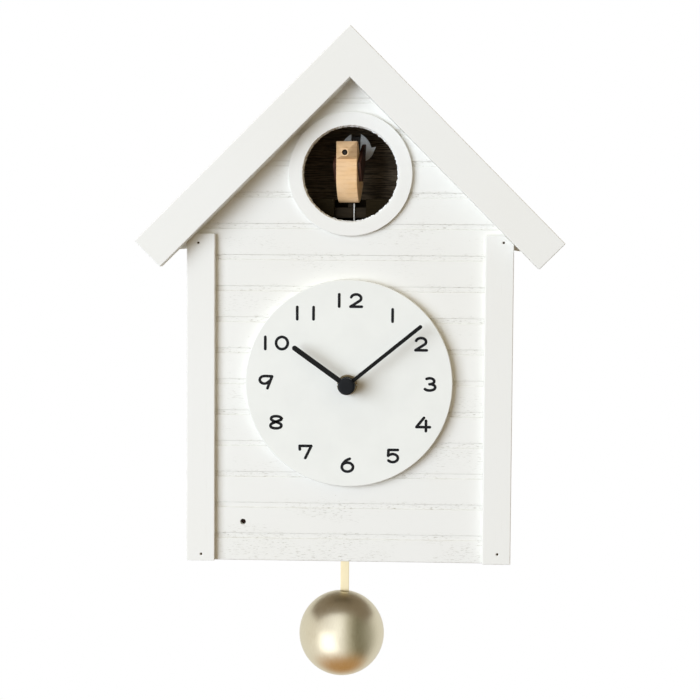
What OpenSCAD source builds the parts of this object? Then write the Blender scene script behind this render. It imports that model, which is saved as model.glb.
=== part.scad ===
// Wall cuckoo clock in the shape of a painted wooden bird house.
// X is to the viewer's right, -Y is the front, +Y is the wall, +Z is up.
// The origin is the centre of the round hole of the hanger plate, in the plane of the wall.

/* [Roof] */
// Height of the outer ridge above the hanger hole
ridge_above_hanger = 75; // [70:1:85]
// Half of the width across the eaves
roof_half = 120; // [116:1:126]
// Width of the bargeboards that face the gable
barge_w = 20.25; // [18:0.25:21]
// Thickness of the bargeboards
barge_t = 9; // [6:0.5:12]
// Thickness of the roof boards behind the bargeboards
roof_t = 12; // [9:0.5:15]
// How far the roof boards reach past the side walls
eave = 3.7; // [3:0.1:6]
// Depth from the wall to the front of the bargeboards
roof_depth = 100; // [99:0.5:106]

/* [House] */
// Distance from the ridge down to the underside of the house
house_drop = 301.7; // [300:0.1:304]
// Half of the width of the house
house_half = 92.1; // [90:0.1:94]
// Distance from the wall to the face of the front panel
face_depth = 85; // [85:0.1:85.4]
// Thickness of the front panel
face_t = 9; // [9:0.1:9.2]
// Thickness of the side panels
side_t = 8; // [6:0.5:9]
// Thickness of the bottom panel
bottom_t = 9; // [7:0.5:9]
// Thickness of the back panel
back_t = 6; // [6:0.1:6.5]
// Set-back of the back panel from the wall
back_recess = 4; // [4:0.1:4.4]

/* [Front details] */
// Distance between the siding grooves
groove_pitch = 17.64; // [16:0.02:18]
// Width of a siding groove
groove_w = 2.8; // [2:0.1:4]
// Depth of a siding groove
groove_depth = 1.0; // [0.5:0.1:2]
// Height of the lowest siding board
first_board = 12.8; // [10:0.1:16]
// Width of the corner trims
trim_w = 16; // [12:0.5:18]
// Thickness of the corner trims
trim_t = 4; // [3:0.5:5]
// Distance from the ridge down to the top of the corner trims
trim_drop = 115.4; // [110:0.1:120]
// Distance from the ridge down to the centre of the bird hole
hole_drop = 81.5; // [81:0.1:82]
// Radius of the bird hole
hole_r = 26.95; // [26:0.05:28]
// Outer radius of the ring around the bird hole
ring_r = 34.9; // [32:0.1:36]
// Thickness of the ring
ring_t = 3; // [2:0.5:4]

/* [Dial and hands] */
// Distance from the ridge down to the centre of the dial
dial_drop = 199.4; // [198:0.1:201]
// Radius of the dial
dial_r = 58.5; // [56:0.5:62]
// Thickness of the dial
dial_t = 6; // [6:0.1:6.2]
// Distance from the dial's centre plane left to the axis of the hands
axis_side = 0.8; // [0:0.1:1]
// Distance from the dial's centre down to the axis of the hands
axis_drop = 0.6; // [0:0.1:1]
// Height of the hour hand's front over the dial
hand_rise = 9.7; // [5:0.1:11]
// Length of the minute hand from its centre
minute_len = 54; // [45:0.1:55]
// Width of the minute hand
minute_w = 2; // [1.4:0.1:3]
// Length of the hour hand from its centre
hour_len = 37.4; // [30:0.1:42]
// Width of the hour hand
hour_w = 2.6; // [2:0.1:4]
// Minute hand, degrees clockwise from twelve
minute_angle = 50.7; // [0:0.1:360]
// Hour hand, degrees clockwise from twelve
hour_angle = 305.4; // [0:0.1:360]

/* [Pendulum] */
// Sideways place of the pendulum, left of the centre plane
pendulum_offset = 3.5; // [0:0.5:5]
// Distance from the ridge down to the pendulum's pivot
pivot_drop = 235; // [234:0.5:236]
// Distance from the ridge down to the centre of the ball
ball_drop = 350.6; // [345:0.1:360]
// Radius of the ball
ball_r = 25; // [20:0.1:26]
// Sideways place of the ball, left of its strip
ball_offset = 1.6; // [0:0.1:2]
// Width of the pendulum strip
strip_w = 5; // [3:0.1:5.6]

/* [Bird] */
// Width of the bird's body
bird_w = 12.2; // [11:0.1:12.4]
// Angle that the bird is turned to the viewer's left
bird_turn = 11; // [0:1:12]
// Distance from the ridge down to the bird's underside
bird_drop = 97.5; // [97:0.1:98]

/* [Hidden] */
$fn = 48;

// Heights
ridge_z = ridge_above_hanger;
under_ridge_z = ridge_z - barge_w * sqrt(2);
floor_z = ridge_z - house_drop;
inner_floor_z = floor_z + bottom_t;
trim_top_z = ridge_z - trim_drop;
hole_z = ridge_z - hole_drop;
dial_z = ridge_z - dial_drop;
pivot_z = ridge_z - pivot_drop;
ball_z = ridge_z - ball_drop;
bird_z = ridge_z - bird_drop;

// Depths
face_y = -face_depth;
face_back_y = face_y + face_t;
dial_front_y = face_y - dial_t;
hour_hand_y = dial_front_y - hand_rise;
minute_hand_y = hour_hand_y - 1.3;
back_y = -back_recess;
back_front_y = back_y - back_t;
inner_half = house_half - side_t;

// Small holes and pins
pin_r = 1.0;
running = 0.06;
sensor = [-60.2, ridge_z - 279.6];
brads = [[-85.6, -45.8], [86.3, -44.7], [-83.7, -222.9], [84.7, -220.8]];
knob_x = 9;

// Motion work: 10 to 30 and 8 to 32 teeth give twelve to one
gear_m = 0.45;
backlash = 0.12;
pressure = 20;
arbor_r = 1.34;
pipe_bore_r = arbor_r + running;
pipe_r = 2.25;
bush_bore_r = pipe_r + 0.08;
bush_r = 4.0;
nut_r = 5.7;
nut_t = 3.4;
cap_r = 4.8;
setting_r = 1.5;

// Movement case, centred on the axis of the hands
case_half = 28;
case_wall = 1.5;
case_split_y = face_back_y + 8;
case_back_y = face_back_y + 16;
hour_gear_y = face_back_y + 2.2;
minute_gear_y = face_back_y + 4.4;

// Bird, with its own axes: x across, -y forward, z up from its underside
bird_at = [-1.83, -74, bird_z];
bird_pivot = [0, 7, 6.4];
post_half = 1.8;
beak_z = 28.2;
beak_r = 1.6;
thread_local = [3.1, 2];
thread_at = [bird_at[0] + thread_local[0] * cos(bird_turn) + thread_local[1] * sin(bird_turn),
             bird_at[1] - thread_local[0] * sin(bird_turn) + thread_local[1] * cos(bird_turn)];
shelf_top_z = bird_z + 2;
shelf_t = 12;
shelf_under_z = shelf_top_z - shelf_t;
notch = [-9.5, 8.5];
notch_back_y = -60;
chamber_half = 44;
chamber_back_y = -38;

// Bellows and bow lever
bellows_x = 36;
bellows_w = 34;
bellows_front_y = -60;
bellows_back_y = -16;
bellows_base_z = -58;
fold_h = 8;
top_board_z = bellows_base_z + fold_h;
top_board_t = 3;
wire_z = top_board_z + top_board_t / 2;
wire_y = -64;
wire_r = 0.8;
lever_pivot = [thread_at[0] + 5, -45];
lever_y = face_back_y + 2.4;
lever_t = 2;
finger_x = 41;

// Cam and its plate
cam_high = 11;
cam_low = 3.6;
cam_z = wire_z - wire_r - 0.4 - cam_high;
plate_y = -60;
plate_t = 2;

// Pendulum
pendulum_x = -pendulum_offset;
ball_x = pendulum_x - ball_offset;
arm_y = -51;
arm_t = 2;
strip_t = 0.6;
strip_y = arm_y + arm_t;
slot_half = 14;

// Battery bay
cell_r = 13.1;
cell_len = 50;
cell_y = -25.6;
cell_low_z = inner_floor_z + cell_r + 1.4;
cell_step = 27.4;
holder_half = 29;
holder_top_z = cell_low_z + cell_step + cell_r + 2;

// Rear door
door_half = 33.6;
door_gap = 0.4;
door_low_z = -199.6;
door_high_z = -60.4;
door_t = 4;
hinge_at = [-(door_half + door_gap / 2), -2.5];
hinge_zs = [-85, -175];
knuckle_r = 1.4;
hinge_pin_r = 0.7;
leaf_t = 0.8;

// Sound holes in the back panel, one group behind each whistle
sound_xs = [-72, 72];

// Route of the light sensor's wire, from the sensor to the gear motor
wire_route = [[-60.2, -70, -204.6], [-60.2, -64, -204], [-60, -60, -198], [-58, -57.5, -188],
              [-50, -57, -176], [-40, -56.5, -166], [-34, -56, -152], [-33, -56, -136],
              [-33, -55, -118], [-32, -53, -102], [-29, -50, -88], [-24, -48, -76],
              [-19, -46.5, -68], [-15, -46, -66]];

// Extrudes an outline drawn in X and Z from y0 back to y1
module along_y(y0, y1) {
    translate([0, y1, 0]) rotate([90, 0, 0]) linear_extrude(y1 - y0) children();
}

// A round bar or drill along Y
module rod_y(x, z, y0, y1, r) {
    translate([x, y1, z]) rotate([90, 0, 0]) cylinder(r = r, h = y1 - y0);
}

// A round bar or drill along X
module rod_x(x0, x1, y, z, r) {
    translate([x0, y, z]) rotate([0, 90, 0]) cylinder(r = r, h = x1 - x0);
}

// What follows, moved onto the axis of the hands
module at_axis() {
    translate([-axis_side, 0, dial_z - axis_drop]) children();
}

// A block between two corners
module block(low, high) {
    translate(low) cube(high - low);
}

// Moves the bird from its own axes to its place in the chamber
module at_bird() {
    translate(bird_at) rotate([0, 0, -bird_turn]) children();
}

// Outline of the house under the roof, narrowed to a half width
module house_outline(half, low) {
    polygon([[-half, low], [half, low], [half, under_ridge_z - half], [0, under_ridge_z],
             [-half, under_ridge_z - half]]);
}

// Outline of one slope, on the side given by s: its lower edge reaches a half width, square-cut
module slope(s, low_half, width) {
    step = width / sqrt(2);
    low_z = under_ridge_z - low_half;
    polygon([[0, under_ridge_z], [s * low_half, low_z], [s * (low_half + step), low_z + step],
             [0, under_ridge_z + 2 * step]]);
}

// One roof board, from the wall to the back of the bargeboards
module roof_board(s) {
    along_y(-roof_depth + barge_t, 0) slope(s, house_half + eave, roof_t);
}

module roof_left() {
    color("#efefec") roof_board(-1);
}

module roof_right() {
    color("#efefec") roof_board(1);
}

// Two boards that face the gable and hide the ends of the roof boards
module bargeboards() {
    color("#efefec")
        for (s = [-1, 1])
            along_y(-roof_depth, -roof_depth + barge_t)
                slope(s, roof_half - barge_w / sqrt(2), barge_w);
}

// Siding board front with its grooves, bird hole, shaft hole and sensor hole
module front_panel() {
    grooves = floor((under_ridge_z - floor_z - first_board) / groove_pitch);
    groove_half = house_half - trim_w / 2;
    color("#f0f0ec") difference() {
        along_y(face_y, face_back_y) house_outline(house_half, floor_z);
        for (i = [0 : grooves]) {
            low = floor_z + first_board + i * groove_pitch;
            block([-groove_half, face_y - 1, low], [groove_half, face_y + groove_depth, low + groove_w]);
        }
        rod_y(0, hole_z, face_y - 1, face_back_y + 1, hole_r);
        at_axis() rod_y(0, 0, face_y - 1, face_back_y + 1, bush_r + 0.2);
        rod_y(sensor[0], sensor[1], face_y - 1, face_back_y + 1, 1.65);
        rod_y(sensor[0], sensor[1], face_y + 5, face_back_y + 1, 2.5);
        rod_y(lever_pivot[0], lever_pivot[1], face_back_y - 2, face_back_y + 1, pin_r);
        for (at = brads)
            rod_y(at[0], at[1], face_y - 1, face_y + 6, 0.6);
    }
}

// Two corner trims, their top outer corners cut to the slope of the roof
module corner_trims() {
    outer = house_half;
    inner = house_half - trim_w;
    color("#efeeea") difference() {
        for (s = [-1, 1])
            along_y(face_y - trim_t, face_y)
                polygon([[s * inner, floor_z], [s * outer, floor_z],
                         [s * outer, min(trim_top_z, under_ridge_z - outer)],
                         [s * min(outer, under_ridge_z - trim_top_z), trim_top_z],
                         [s * inner, trim_top_z]]);
        for (at = brads)
            rod_y(at[0], at[1], face_y - trim_t - 1, face_y + 1, 0.6);
    }
}

// Four headless brads that hold the trims
module trim_brads() {
    color("#7d6f5a")
        for (at = brads)
            rod_y(at[0], at[1], face_y - trim_t + 0.3, face_y + 6, 0.6);
}

// Side panel, bevelled to the roof
module side(s) {
    along_y(face_back_y, 0)
        polygon([[s * inner_half, floor_z], [s * house_half, floor_z],
                 [s * house_half, under_ridge_z - house_half],
                 [s * inner_half, under_ridge_z - inner_half]]);
}

module left_side() {
    color("#eeeeea") side(-1);
}

module right_side() {
    color("#eeeeea") side(1);
}

// Bottom panel with the slot that the pendulum swings in
module bottom_panel() {
    color("#ecece8") difference() {
        block([-inner_half, face_back_y, floor_z], [inner_half, 0, inner_floor_z]);
        block([pendulum_x - slot_half, strip_y - 4, floor_z - 1],
              [pendulum_x + slot_half, strip_y + 4.6, inner_floor_z + 1]);
    }
}

// Back panel with the door opening, hanger relief, switch slot and sound holes
module back_panel() {
    opening = door_half + door_gap;
    color("#c9b48c") difference() {
        along_y(back_front_y, back_y) house_outline(inner_half, inner_floor_z);
        block([-opening, back_front_y - 1, door_low_z - door_gap],
              [opening, back_y + 1, door_high_z + door_gap]);
        rod_y(0, 0, back_front_y - 1, back_y + 1, 7.5);
        block([-4, back_front_y - 1, 0], [4, back_y + 1, 14]);
        rod_y(0, 14, back_front_y - 1, back_y + 1, 4);
        for (x = [-11, 11], z = [-9, 22])
            rod_y(x, z, back_front_y + 1, back_y + 1, 1.3);
        block([-69, back_front_y - 1, -203.4], [-60, back_y + 1, -200.6]);
        for (x = sound_xs, i = [0 : 4])
            rod_y(x, -80 - 9 * i, back_front_y - 1, back_y + 1, 2.5);
    }
}

// Steel keyhole plate for the wall screw, with a collar round the keyhole that reaches the wall
module hanger_plate() {
    color("#b9b9b4") difference() {
        union() {
            block([-16, back_y, -14], [16, back_y + 1.5, 28]);
            rod_y(0, 0, back_y, 0, 7);
            block([-4.2, back_y, 0], [4.2, 0, 14]);
            rod_y(0, 14, back_y, 0, 4.2);
        }
        rod_y(0, 0, back_y - 1, 1, 5);
        block([-2.2, back_y - 1, 0], [2.2, 1, 14]);
        rod_y(0, 14, back_y - 1, 1, 2.2);
        for (x = [-11, 11], z = [-9, 22])
            rod_y(x, z, back_y - 1, back_y + 3, 1.3);
    }
}

// Four round-head screws of the hanger plate
module hanger_screws() {
    color("#8f8f8a")
        for (x = [-11, 11], z = [-9, 22]) {
            rod_y(x, z, back_y - 4.5, back_y + 1.6, 1.3);
            rod_y(x, z, back_y + 1.5, back_y + 2.7, 2.5);
        }
}

// Flat ring glued round the bird hole
module bird_ring() {
    color("#f1f1ee") difference() {
        rod_y(0, hole_z, face_y - ring_t, face_y, ring_r);
        rod_y(0, hole_z, face_y - ring_t - 1, face_y + 1, hole_r);
    }
}

// Round dial board
module dial() {
    color("#f4f4f1") difference() {
        rod_y(0, dial_z, dial_front_y, face_y, dial_r);
        at_axis() rod_y(0, 0, dial_front_y - 1, face_y + 1, bush_r + 0.1);
    }
}

// Shelf under the bird, notched in front for the bracket and the thread
module chamber_shelf() {
    color("#4a3a30") difference() {
        block([-chamber_half, face_back_y, shelf_under_z], [chamber_half, chamber_back_y, shelf_top_z]);
        block([notch[0], face_back_y - 1, shelf_under_z - 1], [notch[1], notch_back_y, shelf_top_z + 1]);
    }
}

// Back wall of the bird chamber, cut to the roof
module chamber_back() {
    edge = chamber_half + 4;
    color("#3a2a22") along_y(chamber_back_y, chamber_back_y + 4)
        polygon([[-edge, shelf_under_z], [edge, shelf_under_z], [edge, under_ridge_z - edge],
                 [0, under_ridge_z], [-edge, under_ridge_z - edge]]);
}

// The two side walls of the bird chamber
module chamber_sides() {
    inner = chamber_half;
    outer = chamber_half + 4;
    color("#33241d")
        for (s = [-1, 1])
            along_y(face_back_y, chamber_back_y)
                polygon([[s * inner, shelf_under_z], [s * outer, shelf_under_z],
                         [s * outer, under_ridge_z - outer], [s * inner, under_ridge_z - inner]]);
}

// Block in the shelf's notch, with the post that carries the bird's pin
module bird_bracket() {
    color("#241a15") difference() {
        union() {
            block([notch[0], -71.6, bird_z - 8.5], [notch[1], notch_back_y, bird_z - 2.7]);
            at_bird()
                block([-1.3, bird_pivot[1] - post_half, -4],
                      [1.3, bird_pivot[1] + post_half, bird_pivot[2] + 1.9]);
        }
        at_bird() rod_x(-5, 5, bird_pivot[1], bird_pivot[2], pin_r);
    }
}

// Front half of the movement case
module movement_front() {
    color("#2a2a2c") at_axis() difference() {
        block([-case_half, face_back_y, -case_half],
              [case_half, case_split_y, case_half]);
        block([-case_half + case_wall, face_back_y + 1.2, -case_half + case_wall],
              [case_half - case_wall, case_split_y + 1, case_half - case_wall]);
        rod_y(0, 0, face_back_y - 1, face_back_y + 3, bush_r);
    }
}

// Back half of the movement case, with the bearings of the two arbors
module movement_back() {
    color("#303033") at_axis() difference() {
        union() {
            difference() {
                block([-case_half, case_split_y, -case_half],
                      [case_half, case_back_y, case_half]);
                block([-case_half + case_wall, case_split_y - 1, -case_half + case_wall],
                      [case_half - case_wall, case_back_y - case_wall, case_half - case_wall]);
            }
            rod_y(0, 0, case_split_y + 1, case_back_y - 0.5, 2.8);
            rod_y(knob_x, 0, case_split_y, case_back_y - 0.5, 3.2);
        }
        rod_y(0, 0, case_split_y - 1, case_back_y - case_wall, arbor_r + running);
        rod_y(knob_x, 0, case_split_y - 1, case_back_y + 1, setting_r + running);
    }
}

// Threaded bush that clamps the dial and the front panel to the movement
module mount_bush() {
    color("#b08d4c") at_axis() difference() {
        rod_y(0, 0, dial_front_y - nut_t - 0.4, face_back_y + 1.2, bush_r);
        rod_y(0, 0, dial_front_y - nut_t - 1, face_back_y + 2, bush_bore_r);
    }
}

// Round nut on the bush, in front of the dial, with two spanner slots
module bush_nut() {
    color("#c39c55") at_axis() difference() {
        rod_y(0, 0, dial_front_y - nut_t, dial_front_y, nut_r);
        rod_y(0, 0, dial_front_y - nut_t - 1, dial_front_y + 1, bush_r);
        for (x = [-nut_r, nut_r])
            block([x - 0.9, dial_front_y - nut_t - 1, -0.6], [x + 0.9, dial_front_y + 1, 0.6]);
    }
}

// Circuit, stepper coil and stator of the quartz movement
module quartz_module() {
    color("#3c6e47") at_axis() {
        block([-24, case_split_y - 5, -25], [22, case_split_y - 3.8, -12]);
        rod_x(-18, 8, case_split_y - 1, -18.5, 3);
        block([-20, case_split_y - 3.8, -20], [-18, case_split_y + 2, -17]);
        block([8, case_split_y - 3.8, -20], [10, case_split_y + 2, -17]);
    }
}

// Plate under the shelf that carries the cam and the gear motor
module mechanism_plate() {
    color("#9a9a96") difference() {
        block([-26, plate_y, -84], [26, plate_y + plate_t, shelf_under_z]);
        rod_y(0, cam_z, plate_y - 1, plate_y + plate_t + 1, 1.5 + running);
    }
}

// Fixed steel pins of the bird, the bow lever and the pendulum
module pivot_pins() {
    color("#b5b5b0") {
        at_bird() rod_x(-bird_w / 2 + 0.6, bird_w / 2 - 0.6, bird_pivot[1], bird_pivot[2], pin_r);
        rod_y(lever_pivot[0], lever_pivot[1], face_back_y - 2, lever_y + lever_t + 0.5, pin_r);
        rod_y(lever_pivot[0], lever_pivot[1], lever_y + lever_t + 0.4, lever_y + lever_t + 1, 1.9);
        rod_y(pendulum_x, pivot_z, -56, arm_y + arm_t + 1.8, pin_r);
        rod_y(pendulum_x, pivot_z, arm_y + arm_t + 1, arm_y + arm_t + 1.8, 1.9);
    }
}

// Gear box with its motor, behind the mechanism plate
module gear_motor() {
    color("#3a3d42") {
        block([-15, plate_y + plate_t, -76], [15, -34, -50]);
        rod_y(0, -63, -34, -20, 9);
        rod_y(0, -63, -20, -18, 3);
    }
}

// Wooden whistle on side s: pipe, mouth, bellows base and the block that holds it
module whistle(s) {
    x0 = bellows_x + 4;
    x1 = x0 + 24;
    wall = 3;
    base = bellows_base_z - 4;
    flip = s < 0 ? [1, 0, 0] : [0, 0, 0];
    mirror(flip) difference() {
        union() {
            block([x0, -50, -150], [x1, -24, base]);
            block([bellows_x, bellows_front_y, base], [bellows_x + bellows_w, bellows_back_y, base + 4]);
            block([x0 + 6, -24, -136], [x1 - 6, back_front_y, -114]);
        }
        block([x0 + wall, -50 + wall, -150 + wall], [x1 - wall, -24 - wall, base + 0.01]);
        block([x1 - wall - 1, -50 + wall, -82], [x1 + 1, -24 - wall, -75]);
        translate([(x0 + x1) / 2, -37, base - 1]) cylinder(r = 4, h = 6);
    }
}

module left_pipe() {
    color("#b98d5a") whistle(-1);
}

module right_pipe() {
    color("#b98d5a") whistle(1);
}

// Folded paper between the two boards of a bellows, closed
module folds(s) {
    low = s < 0 ? -bellows_x - bellows_w : bellows_x;
    block([low + 1, bellows_front_y + 1, bellows_base_z],
          [low + bellows_w - 1, bellows_back_y - 1, top_board_z]);
}

module left_bellows_folds() {
    color("#d8cdb8") folds(-1);
}

module right_bellows_folds() {
    color("#d8cdb8") folds(1);
}

// Top board of a bellows, with its iron weight and the wire that the cam lifts
module bellows_top(s) {
    flip = s < 0 ? [1, 0, 0] : [0, 0, 0];
    mirror(flip) {
        block([bellows_x, bellows_front_y, top_board_z],
              [bellows_x + bellows_w, bellows_back_y, top_board_z + top_board_t]);
        block([bellows_x + 9, -44, top_board_z + top_board_t],
              [bellows_x + 27, -22, top_board_z + top_board_t + 4]);
        block([bellows_x + 2, wire_y - wire_r, wire_z - wire_r],
              [bellows_x + 4, bellows_front_y, wire_z + wire_r]);
        block([3, wire_y - wire_r, wire_z - wire_r],
              [bellows_x + 2, wire_y + wire_r, wire_z + wire_r]);
    }
}

module left_bellows_top() {
    color("#c79f6c") bellows_top(-1);
}

module right_bellows_top() {
    color("#c79f6c") bellows_top(1);
}

// Three-lobed cam on the gear motor's shaft
module cam_wheel() {
    mean = (cam_high + cam_low) / 2;
    swing = (cam_high - cam_low) / 2;
    steps = 72;
    color("#d9d2c0") {
        translate([0, 0, cam_z]) along_y(wire_y - 2, wire_y + 2)
            polygon([for (i = [0 : steps - 1])
                     let (a = i * 360 / steps, r = mean + swing * cos(3 * a + 90))
                         [r * cos(a), r * sin(a)]]);
        rod_y(0, cam_z, wire_y - 3, plate_y + plate_t - 0.1, 1.5);
    }
}

// Pendulum drive: a closed box with the coil that pushes the magnet
module pendulum_drive() {
    color("#2c2c30") difference() {
        block([pendulum_x - 20, face_back_y, pivot_z - 42], [pendulum_x + 20, -54, pivot_z + 4.5]);
        block([pendulum_x - 18, face_back_y + 2, pivot_z - 40], [pendulum_x + 18, -56, pivot_z - 6]);
        rod_y(pendulum_x, pivot_z, -56, -53, pin_r);
    }
}

// Arm that hangs on the pivot, with the drive magnet on its front
module pendulum_arm() {
    color("#e6e2d6") {
        difference() {
            union() {
                rod_y(pendulum_x, pivot_z, arm_y, arm_y + arm_t, 4);
                block([pendulum_x - 3, arm_y, pivot_z - 46], [pendulum_x + 3, arm_y + arm_t, pivot_z]);
            }
            rod_y(pendulum_x, pivot_z, arm_y - 1, arm_y + arm_t + 1, pin_r + running);
        }
        rod_y(pendulum_x, pivot_z - 32, arm_y - 2.2, arm_y, 5);
    }
}

// Flat brass strip of the pendulum
module pendulum_rod() {
    color("#d8bd84")
        block([pendulum_x - strip_w / 2, strip_y, ball_z + ball_r - 14],
              [pendulum_x + strip_w / 2, strip_y + strip_t, pivot_z - 36]);
}

// Hollow metal ball, with the slotted boss that holds the strip
module pendulum_ball() {
    middle_y = strip_y + strip_t / 2;
    color("#b3a78a") difference() {
        union() {
            difference() {
                translate([ball_x, middle_y, ball_z]) sphere(r = ball_r);
                translate([ball_x, middle_y, ball_z]) sphere(r = ball_r - 1.5);
            }
            translate([pendulum_x, middle_y, ball_z + ball_r - 13]) cylinder(r = 4, h = 12.2);
        }
        translate([pendulum_x, middle_y, ball_z + ball_r - 3]) cylinder(r = 3.2, h = 4);
        block([pendulum_x - strip_w / 2, strip_y, ball_z + ball_r - 14],
              [pendulum_x + strip_w / 2, strip_y + strip_t, ball_z + ball_r + 1]);
    }
}

// Tray for two cells, open to the rear door
module battery_holder() {
    color("#26262a") difference() {
        block([-holder_half, -40, inner_floor_z], [holder_half, -12, holder_top_z]);
        block([-holder_half + 2, -39, inner_floor_z + 1.2], [holder_half - 2, -11, holder_top_z - 1.2]);
    }
}

// Two cells that lie one over the other
module batteries() {
    color("#4d6a8c")
        for (z = [cell_low_z, cell_low_z + cell_step]) {
            rod_x(-cell_len / 2, cell_len / 2 - 1.5, cell_y, z, cell_r);
            rod_x(cell_len / 2 - 1.5, cell_len / 2, cell_y, z, 3);
        }
}

// Spring and plate contacts at the ends of the cells
module battery_contacts() {
    inner = holder_half - 2;
    color("#d0cfc8")
        for (z = [cell_low_z, cell_low_z + cell_step]) {
            rod_x(-inner, -cell_len / 2, cell_y, z, 5);
            rod_x(cell_len / 2, inner, cell_y, z, 5);
        }
}

// Light sensor behind its hole, which keeps the bird silent at night
module light_sensor() {
    color("#1c1c1e") {
        rod_y(sensor[0], sensor[1], face_y + 5, face_back_y, 2.5);
        rod_y(sensor[0], sensor[1], face_back_y, -70, 4);
    }
}

// Unit vector along the wire's route at point i
function toward(p, i) =
    let (a = p[max(i - 1, 0)], b = p[min(i + 1, len(p) - 1)]) (b - a) / norm(b - a);

// One polyhedron swept along the points of a route
module tube(p, r, sides) {
    rings = [for (i = [0 : len(p) - 1])
        let (t = toward(p, i), u = cross(t, [1, 0, 0]), v = u / norm(u), w = cross(t, v))
            [for (k = [0 : sides - 1])
                p[i] + r * (cos(360 * k / sides) * v + sin(360 * k / sides) * w)]];
    points = [for (ring = rings) each ring];
    last = (len(p) - 1) * sides;
    walls = [for (i = [0 : len(p) - 2], k = [0 : sides - 1])
        let (n = (k + 1) % sides, a = i * sides, b = a + sides) [a + k, a + n, b + n, b + k]];
    polyhedron(points, concat(walls, [[for (k = [sides - 1 : -1 : 0]) k]],
                              [[for (k = [0 : sides - 1]) last + k]]));
}

module sensor_wire() {
    color("#8c2f2a") tube(wire_route, 0.9, 8);
}

// Switch box inside the back panel
module switch_housing() {
    color("#1f1f22") difference() {
        block([-72, -16, -206], [-57, back_front_y, -198]);
        block([-69, -13.5, -203.4], [-60, back_front_y + 1, -200.6]);
    }
}

// Slider of the chime switch
module switch_slider() {
    color("#d9d9d4") block([-68.6, -13, -203], [-64.6, -2.6, -201]);
}

// Fixed hinge leaves on the back panel, with their pins
module door_hinges() {
    color("#c8a75f")
        for (z = hinge_zs) {
            block([hinge_at[0] - 9.2, back_y, z - 8], [hinge_at[0] - 1.6, back_y + leaf_t, z + 8]);
            translate([hinge_at[0], hinge_at[1], z - 8]) cylinder(r = hinge_pin_r, h = 16);
            for (low = [-8, 3]) {
                block([hinge_at[0] - 1.7, back_y, z + low],
                      [hinge_at[0] - 0.8, back_y + leaf_t, z + low + 5]);
                translate([hinge_at[0], hinge_at[1], z + low]) cylinder(r = knuckle_r, h = 5);
            }
        }
}

// Hinge leaves that are screwed to the door
module door_leaves() {
    color("#c8a75f")
        for (z = hinge_zs)
            difference() {
                union() {
                    block([hinge_at[0] + 1.6, back_y, z - 8],
                          [hinge_at[0] + 9.2, back_y + leaf_t, z + 8]);
                    block([hinge_at[0] + 0.8, back_y, z - 2.8],
                          [hinge_at[0] + 1.7, back_y + leaf_t, z + 2.8]);
                    translate([hinge_at[0], hinge_at[1], z - 2.8]) cylinder(r = knuckle_r, h = 5.6);
                }
                translate([hinge_at[0], hinge_at[1], z - 9]) cylinder(r = hinge_pin_r + running, h = 18);
            }
}

// Rear door with a finger notch in its free edge
module rear_door() {
    color("#cdb890") difference() {
        block([-door_half, back_y - door_t, door_low_z], [door_half, back_y, door_high_z]);
        rod_y(door_half, (door_low_z + door_high_z) / 2, back_y - door_t - 1, back_y + 1, 8);
    }
}

// Gear outline: involute flanks, cut thin by the backlash
function involute(a) = tan(a) * 180 / PI - a;
function flank(teeth, r) =
    let (pitch = gear_m * teeth / 2, base = pitch * cos(pressure), at = max(r, base))
        90 / teeth - backlash / (2 * pitch) * 180 / PI + involute(pressure) - involute(acos(base / at));

module gear(teeth, turn) {
    pitch = gear_m * teeth / 2;
    base = pitch * cos(pressure);
    root = pitch - gear_m;
    tip = pitch + 0.8 * gear_m;
    radii = [root, max(root, base), max(base, pitch), (pitch + tip) / 2, tip];
    polygon([for (i = [0 : teeth - 1], side = [-1, 1], k = [0 : 4])
             let (r = radii[side < 0 ? k : 4 - k], a = turn + i * 360 / teeth + side * flank(teeth, r))
                 [r * cos(a), r * sin(a)]]);
}

// Hand outline from its centre to a round end, turned clockwise from twelve
module hand(length, width, boss, angle) {
    rotate(-angle) {
        translate([-width / 2, 0]) square([width, length - width / 2]);
        translate([0, length - width / 2]) circle(r = width / 2);
        circle(r = boss);
    }
}

module minute_hand() {
    color("#141414") at_axis() difference() {
        along_y(minute_hand_y, minute_hand_y + 0.7) hand(minute_len, minute_w, 4.6, minute_angle);
        rod_y(0, 0, minute_hand_y - 1, minute_hand_y + 1, arbor_r);
    }
}

module hour_hand() {
    color("#141414") at_axis() difference() {
        along_y(hour_hand_y, hour_hand_y + 0.7) hand(hour_len, hour_w, 5.0, hour_angle);
        rod_y(0, 0, hour_hand_y - 1, hour_hand_y + 1, pipe_r);
    }
}

// Black cap over the end of the minute arbor
module hand_cap() {
    color("#101010") at_axis() difference() {
        union() {
            rod_y(0, 0, minute_hand_y - 3.2, minute_hand_y, cap_r);
            rod_y(0, 0, minute_hand_y - 3.6, minute_hand_y - 3.1, cap_r - 0.4);
        }
        rod_y(0, 0, minute_hand_y - 1.6, minute_hand_y + 1, arbor_r);
    }
}

// Minute arbor with its ten-tooth cannon pinion
module minute_arbor() {
    color("#c9a962") at_axis() {
        rod_y(0, 0, minute_hand_y - 1.6, case_back_y - case_wall - 1, arbor_r);
        along_y(minute_gear_y - 0.5, minute_gear_y + 1.5) gear(10, 0);
    }
}

// Hour wheel with 32 teeth, and the pipe that carries the hour hand
module hour_wheel() {
    color("#c9a962") at_axis() difference() {
        union() {
            along_y(hour_gear_y, hour_gear_y + 1) gear(32, 180 / 32);
            rod_y(0, 0, hour_hand_y, hour_gear_y + 0.5, pipe_r);
        }
        rod_y(0, 0, hour_hand_y - 1, hour_gear_y + 2, pipe_bore_r);
    }
}

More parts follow.
